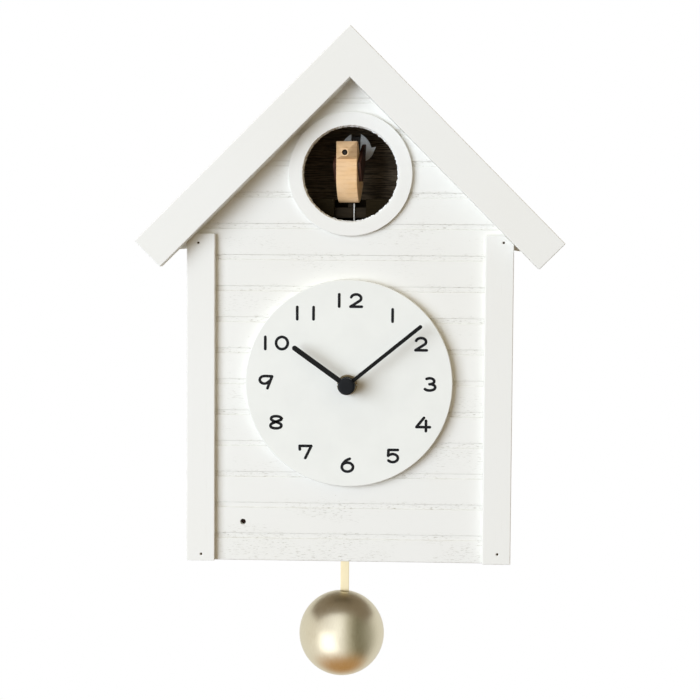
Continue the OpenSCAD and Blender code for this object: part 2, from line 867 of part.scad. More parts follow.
// Minute wheel with 30 teeth and its eight-tooth pinion, on the setting shaft
module minute_wheel() {
    color("#c9a962") at_axis() {
        translate([knob_x, 0, 0]) along_y(minute_gear_y, minute_gear_y + 1) gear(30, 180 / 30);
        translate([knob_x, 0, 0]) along_y(hour_gear_y - 0.1, hour_gear_y + 1.1) gear(8, 0);
        rod_y(knob_x, 0, hour_gear_y + 1, minute_gear_y + 0.5, 1.2);
        rod_y(knob_x, 0, minute_gear_y + 0.5, case_back_y + 5, setting_r);
    }
}

// Knurled knob that sets the hands from behind
module setting_knob() {
    notches = 18;
    low = case_back_y + 0.4;
    color("#e8e6df") at_axis() difference() {
        rod_y(knob_x, 0, low, low + 5.6, 6);
        rod_y(knob_x, 0, low - 1, case_back_y + 5, setting_r);
        for (i = [0 : notches - 1])
            rod_y(knob_x + 6.2 * cos(i * 360 / notches), 6.2 * sin(i * 360 / notches), low - 1, low + 7, 0.6);
    }
}

// Bird's body: a board sawn to its side outline, with a blunt pyramid for the face
module bird_body() {
    front = [[2.2, 0], [1, 0.7], [-0.6, 2.5], [-2, 5], [-3.3, 8], [-4.2, 11], [-4.6, 14.5]];
    back = [[-4.6, 34.7], [-1.3, 34.7], [4.2, 24.5], [11.2, 12.6], [11.8, 11.4], [11.4, 10],
            [10.2, 7.9], [8, 4.9], [6, 2.4], [4.4, 0.8], [3.2, 0]];
    half = bird_w / 2;
    color("#d9ab70") at_bird() difference() {
        union() {
            translate([-half, 0, 0]) rotate([90, 0, 90])
                linear_extrude(bird_w) polygon(concat(front, back));
            hull() {
                block([-half, -4.7, 24.5], [half, -4.6, 34.7]);
                translate([0, -9, beak_z]) rotate([-90, 0, 0]) cylinder(r = 2.2, h = 0.1, $fn = 24);
            }
        }
        block([-1.75, 3.4, -1], [1.75, 20, bird_pivot[2] + 3.4]);
        rod_x(-10, 10, bird_pivot[1], bird_pivot[2], pin_r + running);
        rod_y(0, beak_z, -10, -7.2, beak_r);
    }
}

// Dark round beak let into the face
module bird_beak() {
    color("#2b211b") at_bird() rod_y(0, beak_z, -9.1, -7.2, beak_r);
}

// Two thin wings, swept up and back
module bird_wings() {
    outline = [[0.4, 12.4], [-3.6, 20.5], [-3.8, 22.5], [-2.2, 24.4], [7.2, 33.2], [10, 33.4],
               [8.6, 26], [7.6, 20.5], [2, 12.2]];
    color("#4a2a1c") at_bird()
        for (x = [-bird_w / 2 - 2, bird_w / 2])
            translate([x, 0, 0]) rotate([90, 0, 90]) linear_extrude(2) polygon(outline);
}

// Radius of the fan's edge at angle a from the right, saw-toothed like two feathers
function fan_edge(a) = a > 26 ? 10 + 2.6 * (a - 26) / 51 : 6.5 + 6.1 * max(0, a) / 26;

// Fan tail on a stem from the bird's back
module bird_tail() {
    right = [for (a = [0 : 3 : 78]) fan_edge(a) * [cos(a), sin(a)]];
    centre_z = 27.7;
    color("#8b8f92") at_bird() {
        for (s = [-1, 1])
            translate([0, 0, centre_z]) along_y(18.2, 19.4)
                polygon(concat([[s * 2.5, 0]], [for (p = right) [s * max(p[0], 2.5), p[1]]]));
        translate([-2.5, 0, 0]) rotate([90, 0, 90]) linear_extrude(5)
            polygon([[11.8, 11.4], [19.4, 24], [19.4, 38.5], [17.8, 38.5], [17.8, 24.6], [11.2, 12.6]]);
    }
}

// Thread that pulls the bird down from below
module pull_thread() {
    low = lever_pivot[1] + 1.9;
    color("#e8e6e0")
        translate([thread_at[0], thread_at[1], low]) cylinder(r = 0.4, h = bird_z - 0.35 - low);
}

// Rocker between the right bellows and the thread
module bow_lever() {
    color("#a9a9a4") difference() {
        union() {
            along_y(lever_y, lever_y + lever_t) {
                translate([thread_at[0] - 1.5, lever_pivot[1] - 1.5])
                    square([finger_x + 2.7 - thread_at[0], 3]);
                translate(lever_pivot) circle(r = 2.6);
            }
            rod_y(finger_x, lever_pivot[1] - 0.2, lever_y + 1, bellows_front_y + 3, 1.2);
        }
        rod_y(lever_pivot[0], lever_pivot[1], lever_y - 1, lever_y + lever_t + 1, pin_r + running);
    }
}

roof_left();
roof_right();
bargeboards();
front_panel();
corner_trims();
trim_brads();
left_side();
right_side();
bottom_panel();
back_panel();
hanger_plate();
hanger_screws();
bird_ring();
dial();
chamber_shelf();
chamber_back();
chamber_sides();
bird_bracket();
movement_front();
movement_back();
mount_bush();
bush_nut();
quartz_module();
mechanism_plate();
pivot_pins();
gear_motor();
left_pipe();
right_pipe();
left_bellows_folds();
right_bellows_folds();
pendulum_drive();
battery_holder();
batteries();
battery_contacts();
light_sensor();
sensor_wire();
switch_housing();
switch_slider();
door_hinges();
rear_door();
door_leaves();
minute_hand();
hand_cap();
minute_arbor();
hour_hand();
hour_wheel();
minute_wheel();
setting_knob();
pendulum_arm();
pendulum_rod();
pendulum_ball();
bird_body();
bird_wings();
bird_beak();
bird_tail();
pull_thread();
bow_lever();
left_bellows_top();
right_bellows_top();
cam_wheel();
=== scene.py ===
"""A white wooden wall cuckoo clock in the shape of a bird house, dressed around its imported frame."""

import math

import bmesh
import bpy
from mathutils import Matrix, Vector, noise


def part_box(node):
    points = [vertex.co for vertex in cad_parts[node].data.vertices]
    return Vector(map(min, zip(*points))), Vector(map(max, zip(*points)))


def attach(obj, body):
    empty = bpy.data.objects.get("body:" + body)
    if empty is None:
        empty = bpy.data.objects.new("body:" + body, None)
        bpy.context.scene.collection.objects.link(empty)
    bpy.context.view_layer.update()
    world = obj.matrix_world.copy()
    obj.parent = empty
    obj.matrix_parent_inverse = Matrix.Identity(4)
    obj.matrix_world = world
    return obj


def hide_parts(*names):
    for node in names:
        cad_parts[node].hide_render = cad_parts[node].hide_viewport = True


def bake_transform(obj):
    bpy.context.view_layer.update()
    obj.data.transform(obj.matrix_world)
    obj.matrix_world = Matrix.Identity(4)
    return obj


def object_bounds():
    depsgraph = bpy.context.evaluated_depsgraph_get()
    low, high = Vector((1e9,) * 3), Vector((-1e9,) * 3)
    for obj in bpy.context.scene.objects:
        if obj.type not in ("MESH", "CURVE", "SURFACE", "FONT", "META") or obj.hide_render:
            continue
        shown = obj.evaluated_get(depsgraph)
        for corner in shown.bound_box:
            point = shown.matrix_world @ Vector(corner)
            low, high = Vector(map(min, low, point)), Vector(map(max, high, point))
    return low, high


MM = 0.001
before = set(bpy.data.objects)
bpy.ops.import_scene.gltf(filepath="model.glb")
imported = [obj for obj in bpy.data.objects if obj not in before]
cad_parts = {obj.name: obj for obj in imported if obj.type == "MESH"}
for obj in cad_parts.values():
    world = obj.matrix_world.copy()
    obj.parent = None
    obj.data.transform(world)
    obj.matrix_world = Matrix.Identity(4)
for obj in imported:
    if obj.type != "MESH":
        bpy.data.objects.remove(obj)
CAD_LOW, CAD_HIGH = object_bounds()


# ---------------------------------------------------------------- places taken from the frame


def middle(node):
    """Centre of a CAD node's box."""
    low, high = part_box(node)
    return (low + high) / 2


DIAL = middle("dial")
DIAL_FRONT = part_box("dial")[0].y
DIAL_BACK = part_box("dial")[1].y
DIAL_R = (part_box("dial")[1].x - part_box("dial")[0].x) / 2
RING = middle("bird_ring")
RING_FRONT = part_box("bird_ring")[0].y
RING_R = (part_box("bird_ring")[1].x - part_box("bird_ring")[0].x) / 2
HOLE_R = 26.95 * MM
WALL_LOW, WALL_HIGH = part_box("front_panel")
TRIM_W = 16 * MM
EAVE_Z = WALL_HIGH.z - WALL_HIGH.x
HUB = middle("hand_cap")
BALL = middle("pendulum_ball")
BALL_R = (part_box("pendulum_ball")[1].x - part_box("pendulum_ball")[0].x) / 2
BIRD_TURN = math.radians(-11)
BIRD_AT = Vector((-1.83 * MM, -74 * MM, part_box("bird_body")[0].z))


# ---------------------------------------------------------------- camera, lights and stage

CAMERA_AT = Vector((0.0464, -1.1018, -0.0434))
CAMERA_LEFT = math.radians(2.595)
CAMERA_DOWN = math.radians(3.51)
CAMERA_ROLL = math.radians(0.392)
CAMERA_LENS = 92.6
KEY_POWER = 428
WINDOW_COLOUR = (0.905, 1.01, 1.18)
PANE_COLOUR = (0.95, 0.99, 1.0)
ROOM_LIGHT = 0.45
LIGHT_BELOW = (0.22, 0.125, 0.05)
LIGHT_ABOVE = (1.1, 0.93, 0.66)
FRONT_WALLS = ((0.0, (0.76, 0.73, 0.65)), (0.30, (1.0, 1.0, 0.98)), (0.52, (1.0, 1.0, 0.96)),
               (0.66, (0.50, 0.48, 0.37)), (0.84, (0.11, 0.10, 0.05)), (1.0, (0.36, 0.35, 0.28)))
BACK_WALL = (0.80, 0.79, 0.72)
FLOOR_GOLD = (0.46, 0.25, 0.085)
GOLD_SPAN = (-0.93, -0.66)


def make_camera():
    """The camera stands a little to the right of the clock and looks slightly down."""
    ahead = Vector((-math.sin(CAMERA_LEFT) * math.cos(CAMERA_DOWN),
                    math.cos(CAMERA_LEFT) * math.cos(CAMERA_DOWN), -math.sin(CAMERA_DOWN)))
    right = Vector((math.cos(CAMERA_LEFT), math.sin(CAMERA_LEFT), 0))
    up = right.cross(ahead)
    tilted_right = math.cos(CAMERA_ROLL) * right + math.sin(CAMERA_ROLL) * up
    tilted_up = -math.sin(CAMERA_ROLL) * right + math.cos(CAMERA_ROLL) * up
    data = bpy.data.cameras.new("camera")
    data.lens = CAMERA_LENS
    data.sensor_width = 36
    camera = bpy.data.objects.new("camera", data)
    bpy.context.collection.objects.link(camera)
    turn = Matrix((tilted_right, tilted_up, -ahead)).transposed().to_4x4()
    camera.matrix_world = Matrix.Translation(CAMERA_AT) @ turn
    bpy.context.scene.camera = camera


def area_light(name, at, size, power, colour):
    """A soft rectangular light that faces the middle of the clock."""
    data = bpy.data.lights.new(name, "AREA")
    data.shape = "RECTANGLE"
    data.size, data.size_y = size
    data.energy = power
    data.color = colour
    light = bpy.data.objects.new(name, data)
    bpy.context.collection.objects.link(light)
    light.location = at
    aim = Vector((0, -0.05, -0.1)) - light.location
    light.rotation_mode = "QUATERNION"
    light.rotation_quaternion = aim.to_track_quat("-Z", "Y")
    return light


def make_floor():
    """A pale round floor, far below the clock."""
    bpy.ops.mesh.primitive_circle_add(vertices=96, radius=0.7, fill_type="NGON",
                                      location=(0, -0.1, CAD_LOW.z - 1.6))
    floor = bpy.context.object
    floor.name = "floor"
    floor.data.materials.append(plain("floor_white", (0.80, 0.79, 0.77), 0.7))
    floor.visible_glossy = False


def make_room():
    """White to the camera, a vertical gradient as light, and a room with a warm floor to the metal."""
    world = bpy.data.worlds.new("room")
    bpy.context.scene.world = world
    world.use_nodes = True
    world.node_tree.nodes.clear()
    n = Nodes(world.node_tree)
    coordinate = n.add("ShaderNodeTexCoord").outputs["Generated"]
    axes = n.add("ShaderNodeSeparateXYZ", {0: coordinate}).outputs
    path = n.add("ShaderNodeLightPath").outputs

    def background(strength, colour):
        return n.add("ShaderNodeBackground", {"Strength": strength, "Color": colour}).outputs[0]

    def choose(fac, a, b):
        return n.add("ShaderNodeMixShader", {0: fac, 1: a, 2: b}).outputs[0]

    lit = n.mix(n.span(axes["Z"], -0.44, 0.20, 0, 1), LIGHT_BELOW, LIGHT_ABOVE)
    front = n.ramp(n.span(axes["X"], -1, 1, 0, 1), FRONT_WALLS)
    walls = n.mix(n.span(axes["Y"], -0.15, 0.45, 0, 1), front, BACK_WALL)
    reflected = n.mix(n.span(axes["Z"], *GOLD_SPAN, 0, 1), FLOOR_GOLD, walls)
    room = choose(path["Is Glossy Ray"], background(ROOM_LIGHT, lit), background(1.0, reflected))
    surface = choose(path["Is Camera Ray"], room, background(1.0, (1, 1, 1, 1)))
    n.add("ShaderNodeOutputWorld", {"Surface": surface})


def make_stage():
    """Soft window light from the left, two panes that show only in shiny surfaces, floor and room."""
    make_floor()
    window = area_light("window", (-3.86, -5.13, 0.41), (5.0, 4.0), KEY_POWER, WINDOW_COLOUR)
    window.visible_glossy = False
    for name, at, size, power in (("low_pane", (-1.48, -2.05, -1.0), (2.1, 2.4), 15),
                                  ("high_pane", (-0.3, -2.2, 0.9), (1.0, 2.2), 1.4)):
        pane = area_light(name, at, size, power, PANE_COLOUR)
        pane.visible_diffuse = False
    make_room()
    view = bpy.context.scene.view_settings
    view.view_transform = "Standard"
    view.look = "None"


# ---------------------------------------------------------------- materials


class Nodes:
    """Builds a node tree: add() makes a node, feeds its inputs and returns it."""

    def __init__(self, tree):
        self.tree = tree

    def add(self, kind, inputs=None, **settings):
        node = self.tree.nodes.new(kind)
        for key, value in settings.items():
            setattr(node, key, value)
        for key, value in (inputs or {}).items():
            self.feed(node.inputs[key], value)
        return node

    def feed(self, socket, value):
        if isinstance(value, bpy.types.NodeSocket):
            self.tree.links.new(value, socket)
        else:
            socket.default_value = value

    def ramp(self, fac, stops):
        """Colour ramp from (position, colour) pairs; a colour may be a single grey value."""
        node = self.add("ShaderNodeValToRGB", {"Fac": fac})
        elements = node.color_ramp.elements
        while len(elements) < len(stops):
            elements.new(0.5)
        for element, (position, colour) in zip(elements, stops):
            element.position = position
            rgb = (colour,) * 3 if isinstance(colour, (int, float)) else colour
            element.color = (*rgb, 1)
        return node.outputs["Color"]

    def mix(self, fac, a, b, mode="MIX"):
        node = self.add("ShaderNodeMix", data_type="RGBA", blend_type=mode)
        self.feed(node.inputs["Factor"], fac)
        for socket, value in ((node.inputs["A"], a), (node.inputs["B"], b)):
            self.feed(socket, (*value, 1) if isinstance(value, tuple) else value)
        return node.outputs["Result"]

    def math(self, kind, a, b=0.0):
        node = self.add("ShaderNodeMath", operation=kind)
        self.feed(node.inputs[0], a)
        self.feed(node.inputs[1], b)
        return node.outputs[0]

    def span(self, value, a, b, to_a, to_b):
        """Maps a value from the span a to b onto to_a to to_b, held at both ends."""
        node = self.add("ShaderNodeMapRange", {"Value": value, "From Min": a, "From Max": b,
                                               "To Min": to_a, "To Max": to_b})
        return node.outputs[0]


class Maker(Nodes):
    """Builds one material around its shader."""

    def __init__(self, name):
        self.material = bpy.data.materials.new(name)
        self.material.use_nodes = True
        super().__init__(self.material.node_tree)
        self.shader = self.tree.nodes["Principled BSDF"]
        self.place = self.add("ShaderNodeTexCoord").outputs["Object"]

    def set(self, **values):
        """Feeds the shader's inputs, with _ for each space in their names."""
        for key, value in values.items():
            self.feed(self.shader.inputs[key.replace("_", " ")], value)

    def noise(self, scale, stretch=(1, 1, 1), detail=4.0, rough=0.5, shift=(0, 0, 0)):
        """Noise with this many cells per metre, stretched along the axes."""
        mapping = self.add("ShaderNodeMapping",
                           {"Vector": self.place, "Scale": stretch, "Location": shift})
        made = self.add("ShaderNodeTexNoise", {"Vector": mapping.outputs[0], "Scale": scale,
                                               "Detail": detail, "Roughness": rough})
        return made.outputs["Fac"]

    def mottle(self, colour, factors, scale, detail, low, high):
        """A colour that drifts down to its product with the factors."""
        drift = self.noise(scale, detail=detail)
        return self.ramp(drift, [(low, scaled(colour, *factors)), (high, colour)])

    def bump(self, height, strength, distance=0.0002, after=None):
        """Raised relief on the shader, on top of an earlier bump if one is given."""
        inputs = {"Height": height, "Strength": strength, "Distance": distance}
        if after is not None:
            inputs["Normal"] = after
        node = self.add("ShaderNodeBump", inputs)
        self.set(Normal=node.outputs[0])
        return node.outputs[0]


def scaled(colour, *factors):
    """A colour times one factor, or times one for each channel."""
    return tuple(c * f for c, f in zip(colour, factors if len(factors) == 3 else factors * 3))


def plain(name, colour, rough, shine=0.5):
    """A smooth surface with a slight mottle in its colour."""
    m = Maker(name)
    tint = m.mottle(colour, (0.97,), 60, 3, 0.35, 0.65)
    m.set(Base_Color=tint, Roughness=rough, Specular_IOR_Level=shine)
    return m.material


def paint(name, colour, pores, along="X"):
    """Satin paint over wood: short dark pores along the grain, in drifts, and brush lines."""
    m = Maker(name)
    fine = {"X": (1, 12, 22), "Z": (22, 12, 1)}[along]
    soft = {"X": (1, 4, 7), "Z": (7, 4, 1)}[along]
    dashes = m.noise(85, fine, detail=3.0, rough=0.6)
    drifts = m.noise(22, soft, detail=2.0, shift=(3, 1, 2))
    where = m.ramp(drifts, [(0.46, 0.0), (0.66, 1.0)])
    deep = m.ramp(dashes, [(0.60, 0.0), (0.70, 1.0)])
    pore = m.mix(1.0, where, deep, "MULTIPLY")
    mottle = m.mottle(colour, (0.985, 0.98, 0.965), 9, 4.0, 0.3, 0.7)
    dark = scaled(colour, 0.70, 0.66, 0.58)
    share = m.math("MULTIPLY", pore, pores)
    m.set(Base_Color=m.mix(share, mottle, dark), Roughness=0.42)
    brush = m.noise(240, tuple(1 + 0.25 * (f - 1) for f in fine), detail=2.0)
    first = m.bump(brush, 0.06, 0.0002)
    m.bump(m.math("MULTIPLY", pore, -pores), 0.5, 0.0003, first)
    return m.material


def siding_paint(name, colour):
    """Paint on open-pored boards, torn along the grooves, in drifts and on the lowest board, with
    painted shade lines along the grooves' edges.
    """
    m = Maker(name)
    split = m.add("ShaderNodeSeparateXYZ", {0: m.place})
    height = split.outputs["Z"]
    edge = WALL_HIGH.x - TRIM_W / 2
    between_trims = m.span(m.math("ABSOLUTE", split.outputs["X"]), edge, edge + 0.5 * MM, 1, 0)
    above = m.math("SUBTRACT", height, WALL_LOW.z + FIRST_BOARD)
    wobble = m.math("MULTIPLY", m.math("SUBTRACT", m.noise(260, detail=3.0), 0.5), 0.0006)
    cycle = m.math("FLOORED_MODULO", m.math("ADD", above, wobble), GROOVE_PITCH)
    middle_gap = m.math("ABSOLUTE", m.math("SUBTRACT", cycle, GROOVE_W / 2))
    edge_gap = m.math("ABSOLUTE", m.math("SUBTRACT", middle_gap, GROOVE_W / 2))
    # Thin broken dark lines along both edges of each groove: painted shade in the groove's edges mixed
    # with worn paint, at full weight on the lower edge and half on the upper edge, which the groove's
    # own wall already shades.
    line = m.math("MULTIPLY", m.span(edge_gap, 0.00010, 0.00038, 1, 0),
                  m.span(cycle, 0.4 * GROOVE_W, 0.6 * GROOVE_W, 1.0, 0.5))
    broken = m.ramp(m.noise(230, (1, 1, 0.3), detail=5.0, rough=0.7), [(0.40, 0.2), (0.56, 1.0)])
    line = m.math("MULTIPLY", line, broken)
    near = m.span(middle_gap, 0.0018, 0.0034, 1, 0)
    lowest = m.span(height, WALL_LOW.z + 0.011, WALL_LOW.z + 0.015, 1, 0)
    drifts = m.ramp(m.noise(20, (1, 1, 3), detail=3.0, shift=(0.31, 0, 0.17)),
                    [(0.50, 0.0), (0.68, 1.0)])
    share = m.math("MAXIMUM", m.math("MAXIMUM", near, lowest), drifts)
    patch = m.ramp(m.noise(38, (1, 1, 2), detail=2.0, shift=(0.9, 0, 0.4)),
                   [(0.34, 0.0), (0.52, 1.0)])
    share = m.math("MULTIPLY", share, patch)
    fine = m.noise(330, (1, 1, 6.0), detail=4.0, rough=0.65)
    pores = m.math("MULTIPLY", m.span(fine, 0.56, 0.68, 0, 1), share)
    specks = m.span(m.noise(620, (1, 1, 2.2), detail=2.0, shift=(0.2, 0.1, 0.7)), 0.755, 0.80, 0, 1)
    # The marks gather the pores, the painted shade lines along the grooves and the specks.
    marks = m.math("ADD", m.math("MULTIPLY", pores, 0.8), m.math("MULTIPLY", line, 0.42))
    marks = m.math("ADD", marks, m.math("MULTIPLY", specks, 0.5))
    dark = m.math("MINIMUM", marks, between_trims)
    mottle = m.mottle(colour, (0.99, 0.985, 0.97), 9, 4.0, 0.3, 0.7)
    shade = scaled(colour, 0.50, 0.47, 0.40)
    m.set(Base_Color=m.mix(dark, mottle, shade), Roughness=0.45)
    brush = m.noise(240, (1, 3, 6), detail=2.0)
    first = m.bump(brush, 0.05, 0.0002)
    m.bump(m.math("MULTIPLY", dark, -1.0), 0.35, 0.0003, first)
    return m.material


def maple(name):
    """Light maple with thin, slightly arched growth lines that run across the front."""
    m = Maker(name)
    split = m.add("ShaderNodeSeparateXYZ", {0: m.place})
    sway = m.math("MULTIPLY", m.noise(70, (1, 1, 0.5), detail=3.0), 0.0035)
    rings = m.math("MULTIPLY", m.math("ADD", split.outputs["Z"], sway), 400)
    late = m.ramp(m.math("FRACT", rings),
                  [(0.0, 1.0), (0.10, 0.25), (0.45, 0.0), (0.86, 0.1), (1.0, 0.9)])
    fade = m.ramp(m.noise(240, (1, 1, 0.4), detail=3.0), [(0.35, 0.1), (0.65, 1.0)])
    lines = m.math("MULTIPLY", late, fade)
    broad = m.noise(80, (1, 1, 2), detail=2.0)
    base = m.ramp(broad, [(0.35, (0.77, 0.49, 0.235)), (0.6, (0.81, 0.55, 0.305))])
    fibre = m.noise(1500, (0.25, 0.25, 2.5), detail=3.0)
    base = m.mix(m.span(fibre, 0.35, 0.7, 0, 0.22), base, (0.66, 0.40, 0.19))
    lines = m.math("MULTIPLY", lines, 0.55)
    m.set(Base_Color=m.mix(lines, base, (0.52, 0.29, 0.13)), Roughness=0.5)
    m.bump(fibre, 0.08, 0.0002)
    return m.material


def stained(name, light, dark, shine=0.12):
    """Dark stained wood with grain along X."""
    m = Maker(name)
    streaks = m.noise(120, (1, 8, 14), detail=5.0, rough=0.6)
    bands = m.noise(35, (0.6, 3, 6), detail=3.0)
    grain = m.ramp(streaks, [(0.40, dark), (0.60, light)])
    colour = m.mix(m.ramp(bands, [(0.35, 0.0), (0.8, 1.0)]), grain, dark)
    m.set(Base_Color=colour, Roughness=0.55, Specular_IOR_Level=shine)
    m.bump(streaks, 0.35, 0.0003)
    return m.material


def wood(name, light, dark, stretch, ring_scale=260, rough=0.5, shine=0.5):
    """Clear wood: fine growth lines across the stretch direction, with small pores."""
    m = Maker(name)
    lines = m.noise(ring_scale, stretch, detail=4.0, rough=0.55)
    broad = m.noise(45, stretch, detail=2.0)
    base = m.ramp(lines, [(0.36, dark), (0.52, light), (0.7, tuple(min(1, c * 1.06) for c in light))])
    warm = scaled(light, 0.93, 0.86, 0.76)
    m.set(Base_Color=m.mix(m.ramp(broad, [(0.4, 0.0), (0.7, 0.6)]), base, warm), Roughness=rough,
          Specular_IOR_Level=shine)
    m.bump(lines, 0.12, 0.0002)
    return m.material


def metal(name, colour, rough, brush=(1, 1, 1), depth=0.08):
    """Metal with fine brushing, stretched along the axes."""
    m = Maker(name)
    lines = m.noise(500, brush, detail=3.0)
    tint = m.mottle(colour, (0.9,), 40, 3.0, 0.3, 0.7)
    m.set(Base_Color=tint, Roughness=m.span(lines, 0, 1, rough * 0.8, rough * 1.25), Metallic=1.0)
    m.bump(lines, depth, 0.0001)
    return m.material


def plastic(name, colour, rough, grain=0.05, shine=0.5):
    """Moulded plastic with a fine eroded texture."""
    m = Maker(name)
    cells = m.noise(1400, detail=2.0)
    tint = m.mottle(colour, (0.92,), 50, 2.0, 0.3, 0.7)
    m.set(Base_Color=tint, Roughness=m.span(cells, 0, 1, rough * 0.9, rough * 1.1),
          Specular_IOR_Level=shine)
    m.bump(cells, grain, 0.0001)
    return m.material


def ball_material():
    """Champagne plating, brushed from pole to pole."""
    m = Maker("satin_ball")
    shift = m.add("ShaderNodeVectorMath", {0: m.place, 1: tuple(BALL)}, operation="SUBTRACT")
    split = m.add("ShaderNodeSeparateXYZ", {0: shift.outputs[0]})
    angle = m.math("ARCTAN2", split.outputs["X"], split.outputs["Y"])
    flat = m.add("ShaderNodeCombineXYZ", {0: angle, 1: m.math("MULTIPLY", split.outputs["Z"], 6.0)})
    cloud = m.add("ShaderNodeTexNoise", {"Vector": flat.outputs[0], "Scale": 42.0, "Detail": 5.0,
                                         "Roughness": 0.65})
    lines = cloud.outputs["Fac"]
    tint = m.ramp(lines, [(0.25, (0.80, 0.735, 0.585)), (0.75, (0.90, 0.845, 0.70))])
    m.set(Base_Color=tint, Roughness=m.span(lines, 0.3, 0.7, 0.28, 0.40), Metallic=1.0)
    m.bump(lines, 0.20, 0.0002)
    return m.material


WHITE = (0.86, 0.85, 0.795)
GROOVE_PITCH = 17.64 * MM
GROOVE_W = 2.8 * MM
GROOVE_DEPTH = 0.5 * MM
FIRST_BOARD = 12.8 * MM
SIDING = siding_paint("paint_siding", WHITE)
FLAT_PAINT = paint("paint_flat", WHITE, 0.10)
UPRIGHT_PAINT = paint("paint_upright", WHITE, 0.12, along="Z")
DIAL_PAINT = plain("paint_dial", (0.865, 0.865, 0.80), 0.5)
STAIN = stained("stain_chamber", (0.25, 0.19, 0.125), (0.055, 0.040, 0.024))
SHELF_STAIN = stained("stain_shelf", (0.018, 0.013, 0.006), (0.010, 0.007, 0.003), 0.04)
# The bracket's stain is painted lighter than the shelf's: painted light that makes up for the shade in
# the shelf's notch, so the two read as one dark band.
BRACKET_STAIN_PAINTED_LIGHT = stained("stain_bracket_painted_light", (0.030, 0.022, 0.013), (0.018, 0.013, 0.008))
RAW_BOARD = wood("fibreboard", (0.56, 0.42, 0.25), (0.48, 0.35, 0.20), (1, 1, 1), 500, 0.8)
PINE = wood("pine", (0.60, 0.42, 0.21), (0.46, 0.29, 0.13), (6, 6, 0.6), 90, 0.6)
MAPLE = maple("maple")
WALNUT = wood("walnut", (0.050, 0.020, 0.012), (0.016, 0.007, 0.005), (6, 1, 1), 160, 0.5, 0.2)
EBONY = plastic("ebony", (0.012, 0.008, 0.006), 0.25, shine=0.2)
BLACK_HAND = plastic("black_hand", (0.008, 0.008, 0.008), 0.42, shine=0.12)
BLACK_CAP = plastic("black_cap", (0.004, 0.005, 0.007), 0.16, 0.01, 0.2)
INK = plain("dial_ink", (0.014, 0.014, 0.015), 0.6, 0.1)
BLACK_PLASTIC = plastic("black_plastic", (0.022, 0.022, 0.024), 0.5)
GREY_PLASTIC = plastic("grey_plastic", (0.05, 0.055, 0.06), 0.5)
SENSOR_BROWN = plastic("sensor_brown", (0.045, 0.018, 0.011), 0.4, shine=0.2)
IVORY = plastic("ivory_plastic", (0.72, 0.69, 0.60), 0.45)
BRASS = metal("brass", (0.62, 0.42, 0.16), 0.28)
BRONZE = metal("dark_bronze", (0.24, 0.19, 0.115), 0.4)
STRIP_BRASS = metal("strip_brass", (0.99, 0.88, 0.62), 0.32, (8, 8, 0.4), 0.12)
STEEL = metal("zinc_steel", (0.55, 0.55, 0.53), 0.36)
BRAD = metal("brad_steel", (0.10, 0.075, 0.05), 0.6)
CIRCUIT = plastic("circuit_green", (0.02, 0.11, 0.04), 0.3)
PAPER = plain("bellows_paper", (0.62, 0.54, 0.40), 0.85)
CELL = plastic("cell_sleeve", (0.05, 0.11, 0.20), 0.25)
WIRE_RED = plastic("wire_red", (0.22, 0.02, 0.015), 0.4)
TAIL_GREY = plastic("tail_grey", (0.76, 0.78, 0.76), 0.6)
THREAD = plain("thread", (0.82, 0.81, 0.77), 0.8)
SATIN_BALL = ball_material()


# ---------------------------------------------------------------- mesh helpers


def link(name, mesh):
    """Adds a mesh to the scene as an object."""
    made = bpy.data.objects.new(name, mesh)
    bpy.context.collection.objects.link(made)
    return made


def piece(name, mesh, material, body, *nodes, slot):
    """Links a mesh as a piece that rides on a body and stands for CAD nodes."""
    made = link(name, mesh)
    made.data.materials.append(material)
    if nodes:
        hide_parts(*nodes)
    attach(made, body)
    return made


def smooth(mesh, degrees):
    """Shades a mesh smooth, apart from edges sharper than an angle."""
    mesh.shade_smooth()
    mesh.set_sharp_from_angle(angle=math.radians(degrees))


def finish_mesh(bm, name, smooth_angle=None):
    """Turns a bmesh into a mesh, shaded smooth below an angle if one is given."""
    bmesh.ops.recalc_face_normals(bm, faces=bm.faces)
    mesh = bpy.data.meshes.new(name)
    bm.to_mesh(mesh)
    bm.free()
    if smooth_angle is not None:
        smooth(mesh, smooth_angle)
    return mesh


def modify(made, kind, **settings):
    """Applies one modifier to a piece's mesh."""
    modifier = made.modifiers.new(kind.lower(), kind)
    for key, value in settings.items():
        setattr(modifier, key, value)
    bpy.context.view_layer.update()
    graph = bpy.context.evaluated_depsgraph_get()
    mesh = bpy.data.meshes.new_from_object(made.evaluated_get(graph))
    made.modifiers.clear()
    made.data = mesh


def bevelled(made, width, segments, angle):
    """Rounds a piece's edges that are sharper than an angle."""
    modify(made, "BEVEL", width=width, segments=segments, limit_method="ANGLE",
           angle_limit=math.radians(angle), use_clamp_overlap=True)
    smooth(made.data, 40)
    even_shading(made)


def even_shading(made):
    """Lets the large flat faces lead the shading, so that only the softened edges turn."""
    modify(made, "WEIGHTED_NORMAL", keep_sharp=True)


def circle(x, z, radius, steps):
    """Outline of a circle, as (x, z) points or as points in any other plane."""
    return [(x + radius * math.cos(2 * math.pi * k / steps),
             z + radius * math.sin(2 * math.pi * k / steps)) for k in range(steps)]


def lathe(profile, centre, axis="Y", steps=96):
    """Turns (radius, along) points about an axis through centre. Points at radius 0 close it."""
    bm = bmesh.new()
    rings = []
    for radius, along in profile:
        if radius == 0:
            ring = [bm.verts.new(place_round(centre, axis, 0, 0, along))]
        else:
            ring = [bm.verts.new(place_round(centre, axis, radius, 2 * math.pi * k / steps, along))
                    for k in range(steps)]
        rings.append(ring)
    for a, b in zip(rings, rings[1:]):
        join_rings(bm, a, b)
    if len(rings[0]) > 1 and len(rings[-1]) > 1:
        join_rings(bm, rings[-1], rings[0])
    return bm


def place_round(centre, axis, radius, angle, along):
    """A point at an angle round an axis."""
    u, v = radius * math.cos(angle), radius * math.sin(angle)
    offset = {"Y": (u, along, v), "Z": (u, v, along)}[axis]
    return Vector(centre) + Vector(offset)


